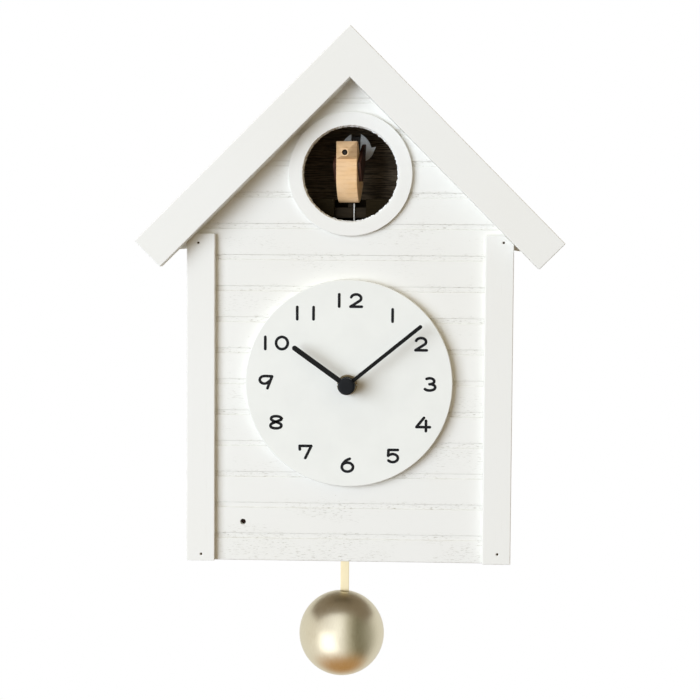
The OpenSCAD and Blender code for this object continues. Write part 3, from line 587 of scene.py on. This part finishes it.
def join_rings(bm, a, b):
    """Faces between two rings, either of which may be a single point."""
    count = max(len(a), len(b))
    for k in range(count):
        n = (k + 1) % count
        corners = [a[k % len(a)], a[n % len(a)], b[n % len(b)], b[k % len(b)]]
        unique = list(dict.fromkeys(corners))
        if len(unique) > 2:
            bm.faces.new(unique)


def prism(outline, low, high, axis="Y"):
    """A solid from an outline of (x, z) points run along Y, or of (y, z) points run along X."""
    bm = bmesh.new()
    add_prism(bm, outline, low, high, axis)
    return bm


def add_prism(bm, outline, low, high, axis="Y"):
    """Adds a prism's faces to a bmesh."""
    def at(point, along):
        return {"Y": (point[0], along, point[1]), "X": (along, point[0], point[1])}[axis]

    near = [bm.verts.new(at(p, low)) for p in outline]
    far = [bm.verts.new(at(p, high)) for p in outline]
    bm.faces.new(near)
    bm.faces.new(far)
    join_rings(bm, near, far)


def smooth_line(points, closed=False, per=8):
    """Catmull-Rom curve through points."""
    pts = [Vector(p) for p in points]
    count = len(pts)
    out = []
    for i in range(count if closed else count - 1):
        a, b, c, d = (pts[(i + k) % count] if closed else pts[min(max(i + k, 0), count - 1)]
                      for k in (-1, 0, 1, 2))
        for s in range(per):
            t = s / per
            out.append(0.5 * ((2 * b) + (c - a) * t + (2 * a - 5 * b + 4 * c - d) * t * t
                              + (3 * b - a - 3 * c + d) * t ** 3))
    if not closed:
        out.append(pts[-1])
    return out


def curve_2d(points, closed=False, per=8):
    """Smooth curve through flat points."""
    return [(p.x, p.y) for p in smooth_line([(*p, 0) for p in points], closed, per)]


def cut(made, bm, name):
    """Subtracts a bmesh solid from a piece."""
    tool = link(name, finish_mesh(bm, name))
    modify(made, "BOOLEAN", object=tool, operation="DIFFERENCE", solver="EXACT")
    bpy.data.objects.remove(tool)


# ---------------------------------------------------------------- the house

SENSOR = Vector((-60.2 * MM, 0, -204.6 * MM))
# Places of the brads in millimetres
BRADS = ((-85.6, -45.8), (86.3, -44.7), (-83.7, -222.9), (84.7, -220.8))


def make_siding():
    """Front panel: soft-edged boards with shallow square grooves that end under the corner trims."""
    low, high = WALL_LOW, WALL_HIGH
    soft = 0.35 * MM
    front, back = low.y, high.y
    profile = [(back, low.z), (front + soft, low.z), (front, low.z + soft)]
    flat = list(profile)
    z = low.z + FIRST_BOARD
    while z + GROOVE_W < high.z - 4 * MM:
        top = z + GROOVE_W
        groove = [(0, z - soft), (0.3 * soft, z - 0.3 * soft), (soft, z), (GROOVE_DEPTH, z),
                  (GROOVE_DEPTH, top), (soft, top), (0.3 * soft, top + 0.3 * soft), (0, top + soft)]
        profile += [(front + depth, at) for depth, at in groove]
        flat += [(front, at) for _, at in groove]
        z += GROOVE_PITCH
    profile += [(front, high.z), (back, high.z)]
    flat += [(front, high.z), (back, high.z)]
    end = high.x - TRIM_W / 2
    bm = bmesh.new()
    rings = [[bm.verts.new((x, *point)) for point in line]
             for x, line in ((low.x, flat), (-end, flat), (-end, profile), (end, profile), (end, flat),
                             (high.x, flat))]
    for a, b in zip(rings, rings[1:]):
        join_rings(bm, a, b)
    bm.faces.new(rings[0])
    bm.faces.new(rings[-1])
    bmesh.ops.remove_doubles(bm, verts=bm.verts, dist=0.001 * MM)
    made = piece("siding", finish_mesh(bm, "siding"), SIDING, "case", "front_panel",
                 slot="white_paint")
    margin = 20 * MM
    reach = high.x + margin
    for side in (-1, 1):
        outline = [(side * -margin, high.z + margin), (side * reach, EAVE_Z - margin),
                   (side * reach, high.z + 2 * margin), (side * -margin, high.z + 2 * margin)]
        cut(made, prism(outline, front - margin, back + margin), "roof_cut")
    for outline in (circle(0, RING.z, HOLE_R, 160), circle(HUB.x, HUB.z, 4.2 * MM, 48),
                    circle(SENSOR.x, SENSOR.z, 1.65 * MM, 48)):
        cut(made, prism(outline, front - margin, back + margin), "hole")
    smooth(made.data, 25)
    even_shading(made)


def make_bargeboards():
    """The two gable boards, glued at the ridge and painted over as one."""
    low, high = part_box("bargeboards")
    end = 14.32 * MM
    outline = [(0, high.z), (high.x, low.z + end), (high.x - end, low.z)]
    inner = low.z + high.x - end
    outline += [(0, inner), (-high.x + end, low.z), (-high.x, low.z + end)]
    bm = prism(outline, low.y, high.y)
    made = piece("gable_boards", finish_mesh(bm, "gable_boards"), FLAT_PAINT, "case", "bargeboards",
                 slot="white_paint")
    bevelled(made, 0.5 * MM, 3, 40)


def make_trims():
    """Corner boards with softened edges, cut to the slope at the top."""
    low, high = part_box("corner_trims")
    bm = bmesh.new()
    for side in (-1, 1):
        inner, outer = side * (high.x - TRIM_W), side * high.x
        shoulder = (outer - side * (high.z - EAVE_Z), high.z) if high.z > EAVE_Z else (outer, high.z)
        outline = [(inner, low.z), (outer, low.z), (outer, min(high.z, EAVE_Z)), shoulder,
                   (inner, high.z)]
        add_prism(bm, dict.fromkeys(outline), low.y, high.y)
    made = piece("corner_boards", finish_mesh(bm, "corner_boards"), UPRIGHT_PAINT, "case",
                 "corner_trims", slot="white_paint")
    for x, z in BRADS:
        cut(made, prism(circle(x * MM, z * MM, 0.62 * MM, 24), low.y - MM, high.y + MM), "brad_hole")
    bevelled(made, 0.5 * MM, 3, 40)


def make_ring():
    """Painted ring with a clean outer edge and a rough, chipped inner edge."""
    back, front = WALL_LOW.y, RING_FRONT
    outer = RING_R
    soft = 0.35 * MM
    steps = 360
    bm = bmesh.new()
    rings = []
    # Radius, depth and how far the edge is chipped, from the outside in
    sections = [(outer, back, 0), (outer, front + soft, 0),
                (outer - 0.3 * soft, front + 0.3 * soft, 0), (outer - soft, front, 0),
                (HOLE_R + 1.6 * MM, front, 0), (HOLE_R + 0.5 * MM, front, 0.15),
                (HOLE_R + 0.12 * MM, front + 0.15 * MM, 0.6), (HOLE_R, front + 0.7 * MM, 1.0),
                (HOLE_R, front + 1.8 * MM, 1.0), (HOLE_R, back, 0.8)]
    for radius, y, chip in sections:
        ring = []
        for k in range(steps):
            a = 2 * math.pi * k / steps
            spot = Vector((math.cos(a) * 30, math.sin(a) * 30, y * 2000))
            rough = noise.noise(spot) * 0.34 + noise.noise(spot * 2.6) * 0.24
            r = radius + chip * rough * MM
            ring.append(bm.verts.new((r * math.cos(a), y + chip * rough * 0.25 * MM,
                                      RING.z + r * math.sin(a))))
        rings.append(ring)
    for a, b in zip(rings, rings[1:] + rings[:1]):
        join_rings(bm, a, b)
    made = piece("ring", finish_mesh(bm, "ring", 50), FLAT_PAINT, "case", "bird_ring",
                 slot="white_paint")
    even_shading(made)


def make_hole_edge():
    """Rough sawn wall of the hole behind the ring: splintered paint in front, dark stain behind."""
    steps = 540
    bm = bmesh.new()
    rings = []
    front, back = WALL_LOW.y + 0.02 * MM, WALL_HIGH.y
    for j in range(10):
        y = front + (back - front) * j / 9
        fall = 1 - 0.8 * (j / 9) ** 0.7
        ring = []
        for k in range(steps):
            a = 2 * math.pi * k / steps
            spot = Vector((math.cos(a) * 16, math.sin(a) * 16, j * 0.7))
            rough = 0.42 + noise.noise(spot) * 0.5
            rough += noise.noise(spot * 2.3) * 0.42
            rough += noise.noise(spot * 5.1) * 0.25
            r = HOLE_R - (0.05 + max(0, rough) * fall) * MM
            ring.append(bm.verts.new((r * math.cos(a), y, RING.z + r * math.sin(a))))
        rings.append(ring)
    for y in (back, front):
        rings.append([bm.verts.new((x, y, z)) for x, z in circle(0, RING.z, HOLE_R, steps)])
    for a, b in zip(rings, rings[1:] + rings[:1]):
        join_rings(bm, a, b)
    m = Maker("torn_edge")
    split = m.add("ShaderNodeSeparateXYZ", {0: m.place})
    deep = m.span(split.outputs["Y"], front, front + 4 * MM, 0, 0.24)
    flecks = m.math("SUBTRACT", m.noise(420, (1, 0.35, 1), detail=3.0, rough=0.55), deep)
    tint = m.ramp(flecks, [(0.18, (0.09, 0.075, 0.055)), (0.27, (0.42, 0.37, 0.29)),
                           (0.36, (0.76, 0.73, 0.66)), (0.46, (0.88, 0.88, 0.85))])
    m.set(Base_Color=tint, Roughness=0.8)
    m.bump(flecks, 0.5, 0.0003)
    piece("hole_edge", finish_mesh(bm, "hole_edge", 60), m.material, "case", slot="stained_wood")


def make_dial():
    """Dial board with a softened rim."""
    bm = prism(circle(0, DIAL.z, DIAL_R, 256), DIAL_FRONT, DIAL_BACK)
    made = piece("dial_board", finish_mesh(bm, "dial_board"), DIAL_PAINT, "case", "dial",
                 slot="dial_white")
    bush_hole = circle(HUB.x, HUB.z, 4.1 * MM, 48)
    cut(made, prism(bush_hole, DIAL_FRONT - MM, DIAL_BACK + MM), "bush_hole")
    bevelled(made, 0.6 * MM, 4, 50)


# ---------------------------------------------------------------- numerals

GLYPH_H = 6.9 * MM
STROKE = 1.55 * MM
NUMERAL_R = 46.4 * MM


def arc(cx, cy, rx, ry, start, end, steps=28):
    """Points along an ellipse from one angle to another, in degrees."""
    angles = [math.radians(start + (end - start) * i / steps) for i in range(steps + 1)]
    return [(cx + rx * math.cos(a), cy + ry * math.sin(a)) for a in angles]


def glyph(sign):
    """Centre lines of one sign's strokes, in units of the glyph's height."""
    if sign == "0":
        return [arc(0.48, 0.5, 0.48, 0.5, 90, 450, 48)]
    if sign == "1":
        return [[(0, 0), (0, 1)]]
    if sign == "2":
        bow = arc(0.45, 0.69, 0.41, 0.31, 165, -38)
        return [bow + [(0.0, 0.0)], [(0, 0), (0.92, 0)]]
    if sign == "3":
        return [arc(0.42, 0.755, 0.38, 0.245, 130, -90), arc(0.42, 0.26, 0.46, 0.26, 90, -145)]
    if sign == "4":
        return [[(0.63, 1.0), (0.02, 0.24)], [(0.02, 0.24), (1.12, 0.24)],
                [(0.80, 0.76), (0.80, -0.09)]]
    if sign == "5":
        bowl = arc(0.40, 0.33, 0.43, 0.33, 148, -142)
        return [[(0.06, 1.0), (0.82, 1.0)], [(0.06, 1.0), (0.03, 0.51)], bowl]
    if sign == "6":
        stem = curve_2d([(0.66, 1.06), (0.33, 0.90), (0.08, 0.62), (0.01, 0.36)])
        return [stem, arc(0.47, 0.37, 0.46, 0.37, 0, 360, 40)]
    if sign == "7":
        return [[(0.0, 1.0), (0.96, 1.0)], [(0.0, 1.0), (0.02, 0.70)], [(0.96, 1.0), (0.47, 0.0)]]
    if sign == "8":
        loop = [(0.98, 0.76), (0.80, 0.94), (0.48, 1.0), (0.16, 0.94), (0.07, 0.77), (0.22, 0.62),
                (0.52, 0.52), (0.84, 0.37), (0.91, 0.20), (0.76, 0.05), (0.46, 0.0), (0.14, 0.06),
                (0.02, 0.20), (0.10, 0.37), (0.45, 0.53), (0.98, 0.76)]
        return [curve_2d(loop)]
    head = arc(0.40, 0.69, 0.39, 0.31, 90, 300)
    return [[(1.02, 0.98), (0.60, 1.0)] + head + [(0.88, 0.66)], [(1.02, 0.98), (0.64, 0.0)]]


# Each hour's signs with their places in millimetres, right of and above the hour's point on the circle
NUMERALS = {
    12: (0.4, [("1", -5.7), ("2", 0.7)]), 1: (-1.6, [("1", 1.2)]), 2: (-0.6, [("2", -2.8)]),
    3: (0.0, [("3", -3.8)]), 4: (0.8, [("4", -2.0)]), 5: (-0.6, [("5", -0.9)]),
    6: (-0.1, [("6", -3.7)]), 7: (1.1, [("7", -4.4)]), 8: (0.8, [("8", -4.1)]), 9: (0.3, [("9", -4.0)]),
    10: (-0.7, [("1", -7.1), ("0", -1.0)]), 11: (-0.7, [("1", -6.1), ("1", 3.1)]),
}


def ribbon(bm, line, width, y_back, y_front):
    """A flat stroke along a line of (x, z) points, with round ends or closed into a loop."""
    pts = [Vector(p) for p in line]
    left, right = [], []
    for i, p in enumerate(pts):
        d = (pts[min(i + 1, len(pts) - 1)] - pts[max(i - 1, 0)]).normalized()
        n = Vector((-d.y, d.x)) * width / 2
        left.append(p + n)
        right.append(p - n)
    first = (pts[1] - pts[0]).normalized()
    last = (pts[-1] - pts[-2]).normalized()
    if (pts[0] - pts[-1]).length < 1e-6:
        front_left, front_right, back_left, back_right = (
            [bm.verts.new((p.x, y, p.y)) for p in edge[:-1]]
            for y in (y_front, y_back) for edge in (left, right))
        for a, b in ((front_left, front_right), (front_right, back_right), (back_right, back_left),
                     (back_left, front_left)):
            join_rings(bm, a, b)
        return
    cap = 8
    end = [pts[-1] + turn(last, 90 - 180 * k / cap) * width / 2 for k in range(1, cap)]
    start = [pts[0] + turn(-first, 90 - 180 * k / cap) * width / 2 for k in range(1, cap)]
    add_prism(bm, left + end + right[::-1] + start, y_front, y_back)


def turn(d, degrees):
    """A direction turned anticlockwise."""
    a = math.radians(degrees)
    return Vector((d.x * math.cos(a) - d.y * math.sin(a), d.x * math.sin(a) + d.y * math.cos(a)))


def make_numerals():
    """Hour numerals as thin raised ink strokes with round ends."""
    bm = bmesh.new()
    for hour, (rise, signs) in NUMERALS.items():
        a = math.radians(90 - 30 * hour)
        base = Vector((NUMERAL_R * math.cos(a),
                       DIAL.z + NUMERAL_R * math.sin(a) - GLYPH_H / 2 + rise * MM))
        for sign, shift in signs:
            for n, stroke in enumerate(glyph(sign)):
                line = [base + Vector((shift * MM + x * GLYPH_H, z * GLYPH_H)) for x, z in stroke]
                lift = (0.10 + 0.004 * n) * MM
                ribbon(bm, line, STROKE, DIAL_FRONT + 0.02 * MM, DIAL_FRONT - lift)
    piece("numerals", finish_mesh(bm, "numerals"), INK, "case", slot="black_enamel")


# ---------------------------------------------------------------- hands

# Length, width and boss radius in millimetres, and degrees clockwise from twelve
MINUTE = (53.9, 2.1, 4.6, 50.8)
HOUR = (37.3, 2.9, 5.0, 305.5)


def make_hand(name, sizes, material, body):
    """A flat hand with a round end, a boss and softened edges."""
    length, width, boss, angle = sizes
    low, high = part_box(name)
    a = math.radians(90 - angle)
    ahead = Vector((math.cos(a), math.sin(a)))
    side = Vector((-ahead.y, ahead.x))
    centre = Vector((HUB.x, HUB.z))
    half = width / 2 * MM
    reach = length * MM - half
    boss_r = boss * MM
    start = math.asin(half / boss_r)
    outline = []
    for k in range(65):
        t = start + (2 * math.pi - 2 * start) * k / 64
        outline.append(centre + boss_r * (math.cos(t) * ahead + math.sin(t) * side))
    for k in range(13):
        t = -math.pi / 2 + math.pi * k / 12
        outline.append(centre + ahead * (reach + half * math.cos(t)) + side * half * math.sin(t))
    bm = prism([(p.x, p.y) for p in outline], low.y, high.y)
    made = piece(name + "_blade", finish_mesh(bm, name), material, body, name, slot="black_enamel")
    bevelled(made, 0.14 * MM, 2, 50)


def make_cap():
    """Glossy black cap over the arbor, slightly domed."""
    low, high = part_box("hand_cap")
    r = (high.x - low.x) / 2
    top, foot = low.y, high.y
    soft = 0.5 * MM
    profile = [(0, top), (r * 0.45, top + 0.02 * MM), (r * 0.75, top + 0.10 * MM)]
    profile += [(r - soft + soft * math.sin(t), top + 0.18 * MM + soft - soft * math.cos(t))
                for t in (0.2, 0.6, 1.0, 1.4, math.pi / 2)]
    profile += [(r, foot - 0.1 * MM), (r - 0.1 * MM, foot), (0, foot)]
    bm = lathe(profile, (HUB.x, 0, HUB.z))
    piece("cap", finish_mesh(bm, "cap", 50), BLACK_CAP, "minute", "hand_cap", slot="black_gloss")


# ---------------------------------------------------------------- pendulum


def make_ball():
    """Hollow plated ball with a countersunk hole for the strip."""
    r = BALL_R
    hole = 3.1 * MM
    edge = math.asin(hole / r)
    steps = 72
    profile = []
    for k in range(steps + 1):
        t = math.pi - (math.pi - edge) * k / steps
        profile.append((r * math.sin(t) if k else 0, r * math.cos(t)))
    lip = r * math.cos(edge)
    profile += [(hole - 0.25 * MM, lip - 0.15 * MM), (hole - 0.35 * MM, lip - 0.6 * MM),
                (hole - 0.35 * MM, lip - 3 * MM), (0, lip - 3.2 * MM)]
    bm = lathe(profile, (0, 0, 0), axis="Z", steps=144)
    lean = math.asin((middle("pendulum_rod").x - BALL.x) / r)
    bm.transform(Matrix.Translation(BALL) @ Matrix.Rotation(lean, 4, "Y"))
    piece("ball", finish_mesh(bm, "ball", 50), SATIN_BALL, "pendulum", "pendulum_ball",
          slot="satin_ball")


def make_strip():
    """Brass strip with rolled edges."""
    low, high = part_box("pendulum_rod")
    outline = [(low.x, low.z), (high.x, low.z), (high.x, high.z), (low.x, high.z)]
    bm = prism(outline, low.y, high.y)
    made = piece("strip", finish_mesh(bm, "strip"), STRIP_BRASS, "pendulum", "pendulum_rod",
                 slot="pale_brass")
    bevelled(made, 0.2 * MM, 3, 50)


# ---------------------------------------------------------------- bird


BIRD_HALF = 6.1 * MM
HEAD_FRONT = -4.6 * MM
HEAD_LOW = 24.5 * MM
HEAD_TOP = 34.7 * MM
BEAK = Vector((0, -9.0 * MM, 28.2 * MM))
BEAK_R = 1.6 * MM


def bird_place(bm):
    """Moves a bmesh from the bird's own axes to its place in the chamber."""
    bm.transform(Matrix.Translation(BIRD_AT) @ Matrix.Rotation(BIRD_TURN, 4, "Z"))
    return bm


def make_bird_body():
    """Sawn maple body: straight breast and back, and a belly that curves in to a small foot."""
    belly = [(-4.6, 16), (-4.3, 11.6), (-3.3, 8), (-2.0, 5), (-0.5, 2.4), (0.9, 0.9), (2.4, 0.15),
             (3.7, 0.4), (5.2, 1.6), (8.0, 4.8), (10.4, 8.2), (11.4, 10), (11.7, 11.4), (11.2, 12.6)]
    outline = [(-4.6, 34.7)] + curve_2d(belly) + [(4.2, 24.5), (-1.3, 34.7)]
    bm = prism([(y * MM, z * MM) for y, z in outline], -BIRD_HALF, BIRD_HALF, axis="X")
    made = piece("bird", finish_mesh(bird_place(bm), "bird"), MAPLE, "bird", "bird_body", slot="maple")
    bevelled(made, 0.45 * MM, 3, 45)


def make_face():
    """Four flat facets from the square head to the round beak."""
    half = BIRD_HALF - 0.1 * MM
    base_y = HEAD_FRONT + 0.1 * MM
    steps = 16
    top = HEAD_TOP - 0.1 * MM
    corners = [(-half, HEAD_LOW), (half, HEAD_LOW), (half, top), (-half, top)]
    square = []
    for side in range(4):
        a, b = Vector(corners[side]), Vector(corners[(side + 1) % 4])
        square += [a.lerp(b, k / steps) for k in range(steps)]

    def round_beak(radius):
        """Points round the beak, in step with those round the head."""
        angles = [math.radians(225) + 2 * math.pi * k / len(square) for k in range(len(square))]
        return [Vector((radius * math.cos(a), BEAK.z + radius * math.sin(a))) for a in angles]

    bm = bmesh.new()
    rings = []
    for share in (0.0, 0.03, 0.2, 0.4, 0.6, 0.8, 0.94, 1.0):
        y = base_y + (BEAK.y - base_y) * share
        spots = [p.lerp(tip, share) for p, tip in zip(square, round_beak(2.2 * MM))]
        rings.append([bm.verts.new((spot.x, y, spot.y)) for spot in spots])
    for radius, depth in ((1.85, -0.02), (1.65, 0.05), (1.6, 0.3), (1.6, 1.4)):
        rings.append([bm.verts.new((spot.x, BEAK.y + depth * MM, spot.y))
                      for spot in round_beak(radius * MM)])
    for a, b in zip(rings, rings[1:]):
        join_rings(bm, a, b)
    bm.faces.new(rings[-1])
    bm.faces.new(rings[0])
    piece("bird_face", finish_mesh(bird_place(bm), "bird_face", 28), MAPLE, "bird", slot="maple")


def make_beak():
    """Short dark dowel, domed, set just inside the face."""
    r = BEAK_R - 0.02 * MM
    front = BEAK.y + 0.3 * MM
    profile = [(0, front), (r * 0.5, front + 0.08 * MM), (r * 0.85, front + 0.3 * MM),
               (r, front + 0.6 * MM), (r, front + 1.4 * MM), (0, front + 1.4 * MM)]
    bm = bird_place(lathe(profile, (0, 0, BEAK.z), steps=40))
    piece("beak", finish_mesh(bm, "beak", 60), EBONY, "bird", "bird_beak", slot="ebony")


def make_wings():
    """Thin walnut wings, swept up and back."""
    edge = [(0.4, 12.4), (-1.8, 16.6), (-3.5, 20.5), (-3.8, 22.5), (-2.4, 24.2), (2.2, 28.6),
            (7.2, 33.0), (9.6, 33.4), (9.9, 32.2), (9.2, 29), (8.6, 26), (7.6, 20.5), (4.9, 16),
            (2.2, 12.5), (1.2, 12.2)]
    outline = [(y * MM, z * MM) for y, z in curve_2d(edge, closed=True, per=5)]
    bm = bmesh.new()
    for left in (-BIRD_HALF - 2 * MM, BIRD_HALF):
        add_prism(bm, outline, left, left + 2 * MM, axis="X")
    made = piece("wings", finish_mesh(bird_place(bm), "wings"), WALNUT, "bird", "bird_wings",
                 slot="walnut")
    bevelled(made, 0.3 * MM, 3, 50)


def make_tail():
    """Grey fan of curved, pointed feathers on both sides of a dark stem."""
    centre = Vector((0, 27.7 * MM))
    stem_half = 2.5 * MM
    # Degrees at each feather's tip and foot, the length it loses between them and its curve
    feathers = ((77, 26, 2.6, 0.9), (23, -28, 6.0, 0.8))
    edge = [Vector((stem_half, 1.0 * MM))]
    for tip, foot, loss, curve in feathers:
        for k in range(13):
            a = math.radians(tip + (foot - tip) * k / 12)
            r = 12.6 - loss * (k / 12) ** curve
            edge.append(Vector((r * math.cos(a), r * math.sin(a))) * MM)
    bm = bmesh.new()
    for side in (-1, 1):
        outline = [Vector((max(p.x, stem_half) * side, p.y)) + centre for p in edge]
        add_prism(bm, outline, 18.2 * MM, 19.4 * MM)
    made = piece("tail_fan", finish_mesh(bird_place(bm), "tail_fan"), TAIL_GREY, "bird", "bird_tail",
                 slot="tail_grey")
    bevelled(made, 0.15 * MM, 2, 50)
    stem = [(11.7, 11.4), (16.4, 18), (19.4, 25), (19.4, 38.5), (17.8, 38.5), (17.8, 25), (14.9, 18.6),
            (11.1, 12.6)]
    bm = prism([(y * MM, z * MM) for y, z in stem], -stem_half, stem_half, axis="X")
    made = piece("tail_stem", finish_mesh(bird_place(bm), "tail_stem"), EBONY, "bird", slot="ebony")
    bevelled(made, 0.2 * MM, 2, 50)


def make_thread():
    """Two-ply twisted thread."""
    low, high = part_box("pull_thread")
    centre = middle("pull_thread")
    bm = bmesh.new()
    plies, rings, sides = 2, 90, 8
    ply_r = 0.19 * MM
    off = 0.20 * MM
    for ply in range(plies):
        previous = None
        for i in range(rings + 1):
            z = low.z + (high.z - low.z) * i / rings
            a = 2 * math.pi * (12 * i / rings + ply / plies)
            around = circle(centre.x + off * math.cos(a), centre.y + off * math.sin(a), ply_r, sides)
            ring = [bm.verts.new((x, y, z)) for x, y in around]
            if previous:
                join_rings(bm, previous, ring)
            else:
                bm.faces.new(ring)
            previous = ring
        bm.faces.new(previous)
    piece("thread_plies", finish_mesh(bm, "thread_plies", 60), THREAD, "thread", "pull_thread",
          slot="thread_white")


# ---------------------------------------------------------------- bellows


def make_folds(side):
    """Pleated paper between the boards of a bellows, as one fixed mesh."""
    name = "left_bellows" if side < 0 else "right_bellows"
    low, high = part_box(name + "_folds")
    levels = 8
    bm = bmesh.new()
    rings = []
    for i in range(levels + 1):
        z = low.z + (high.z - low.z) * i / levels
        pull = (2.2 if i % 2 else 0.2) * MM
        x0, x1, y0, y1 = low.x + pull, high.x - pull, low.y + pull, high.y - pull
        corners = [(x0, y0), (x1, y0), (x1, y1), (x0, y1)]
        rings.append([bm.verts.new((a[0] + (b[0] - a[0]) * k / 6, a[1] + (b[1] - a[1]) * k / 6, z))
                      for a, b in zip(corners, corners[1:] + corners[:1]) for k in range(6)])
    for a, b in zip(rings, rings[1:]):
        join_rings(bm, a, b)
    bm.faces.new(rings[0])
    bm.faces.new(rings[-1])
    made = link(name + "_pleats", finish_mesh(bm, name + "_pleats"))
    made.data.materials.append(PAPER)
    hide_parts(name + "_folds")
    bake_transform(made)


# ---------------------------------------------------------------- CAD nodes that keep their shape

# Material, and width of the softened edges in millimetres
KEPT = {
    "roof_left": (FLAT_PAINT, 0.5), "roof_right": (FLAT_PAINT, 0.5),
    "left_side": (UPRIGHT_PAINT, 0.5), "right_side": (UPRIGHT_PAINT, 0.5),
    "bottom_panel": (FLAT_PAINT, 0.4), "back_panel": (RAW_BOARD, 0.3),
    "rear_door": (RAW_BOARD, 0.3), "trim_brads": (BRAD, 0), "hanger_plate": (STEEL, 0.15),
    "hanger_screws": (STEEL, 0.25), "chamber_shelf": (SHELF_STAIN, 0.3), "chamber_back": (STAIN, 0),
    "chamber_sides": (STAIN, 0), "bird_bracket": (BRACKET_STAIN_PAINTED_LIGHT, 0.3),
    "movement_front": (BLACK_PLASTIC, 0.4), "movement_back": (BLACK_PLASTIC, 0.4),
    "mount_bush": (BRONZE, 0.1), "bush_nut": (BRONZE, 0.2), "quartz_module": (CIRCUIT, 0),
    "mechanism_plate": (STEEL, 0.2), "pivot_pins": (STEEL, 0.1), "gear_motor": (GREY_PLASTIC, 0.6),
    "left_pipe": (PINE, 0.3), "right_pipe": (PINE, 0.3), "pendulum_drive": (BLACK_PLASTIC, 0.5),
    "battery_holder": (BLACK_PLASTIC, 0.4), "batteries": (CELL, 0.5),
    "battery_contacts": (STEEL, 0.2), "light_sensor": (SENSOR_BROWN, 0.3),
    "sensor_wire": (WIRE_RED, 0), "switch_housing": (BLACK_PLASTIC, 0.3),
    "switch_slider": (IVORY, 0.2), "door_hinges": (BRASS, 0.1), "door_leaves": (BRASS, 0.1),
    "minute_arbor": (BRASS, 0), "hour_wheel": (BRASS, 0), "minute_wheel": (BRASS, 0),
    "setting_knob": (IVORY, 0.2), "pendulum_arm": (IVORY, 0.2), "bow_lever": (STEEL, 0.2),
    "left_bellows_top": (PINE, 0.3), "right_bellows_top": (PINE, 0.3), "cam_wheel": (IVORY, 0.2),
}


def dress_frame():
    """Gives each kept CAD node its material and softened edges."""
    for name, (material, soft) in KEPT.items():
        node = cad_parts[name]
        if not node.material_slots:
            node.data.materials.append(material)
        for entry in node.material_slots:
            entry.link = "OBJECT"
            entry.material = material
        if soft:
            weld = node.modifiers.new("weld", "WELD")
            weld.merge_threshold = 0.002 * MM
            bevel = node.modifiers.new("soft_edges", "BEVEL")
            bevel.width = soft * MM
            bevel.segments = 3
            bevel.limit_method = "ANGLE"
            bevel.angle_limit = math.radians(40)
            node.modifiers.new("even_shading", "WEIGHTED_NORMAL")


make_camera()
make_stage()
dress_frame()
make_siding()
make_bargeboards()
make_trims()
make_ring()
make_hole_edge()
make_dial()
make_numerals()
make_hand("minute_hand", MINUTE, BLACK_HAND, "minute")
make_hand("hour_hand", HOUR, BLACK_HAND, "hour")
make_cap()
make_ball()
make_strip()
make_bird_body()
make_face()
make_beak()
make_wings()
make_tail()
make_thread()
make_folds(-1)
make_folds(1)
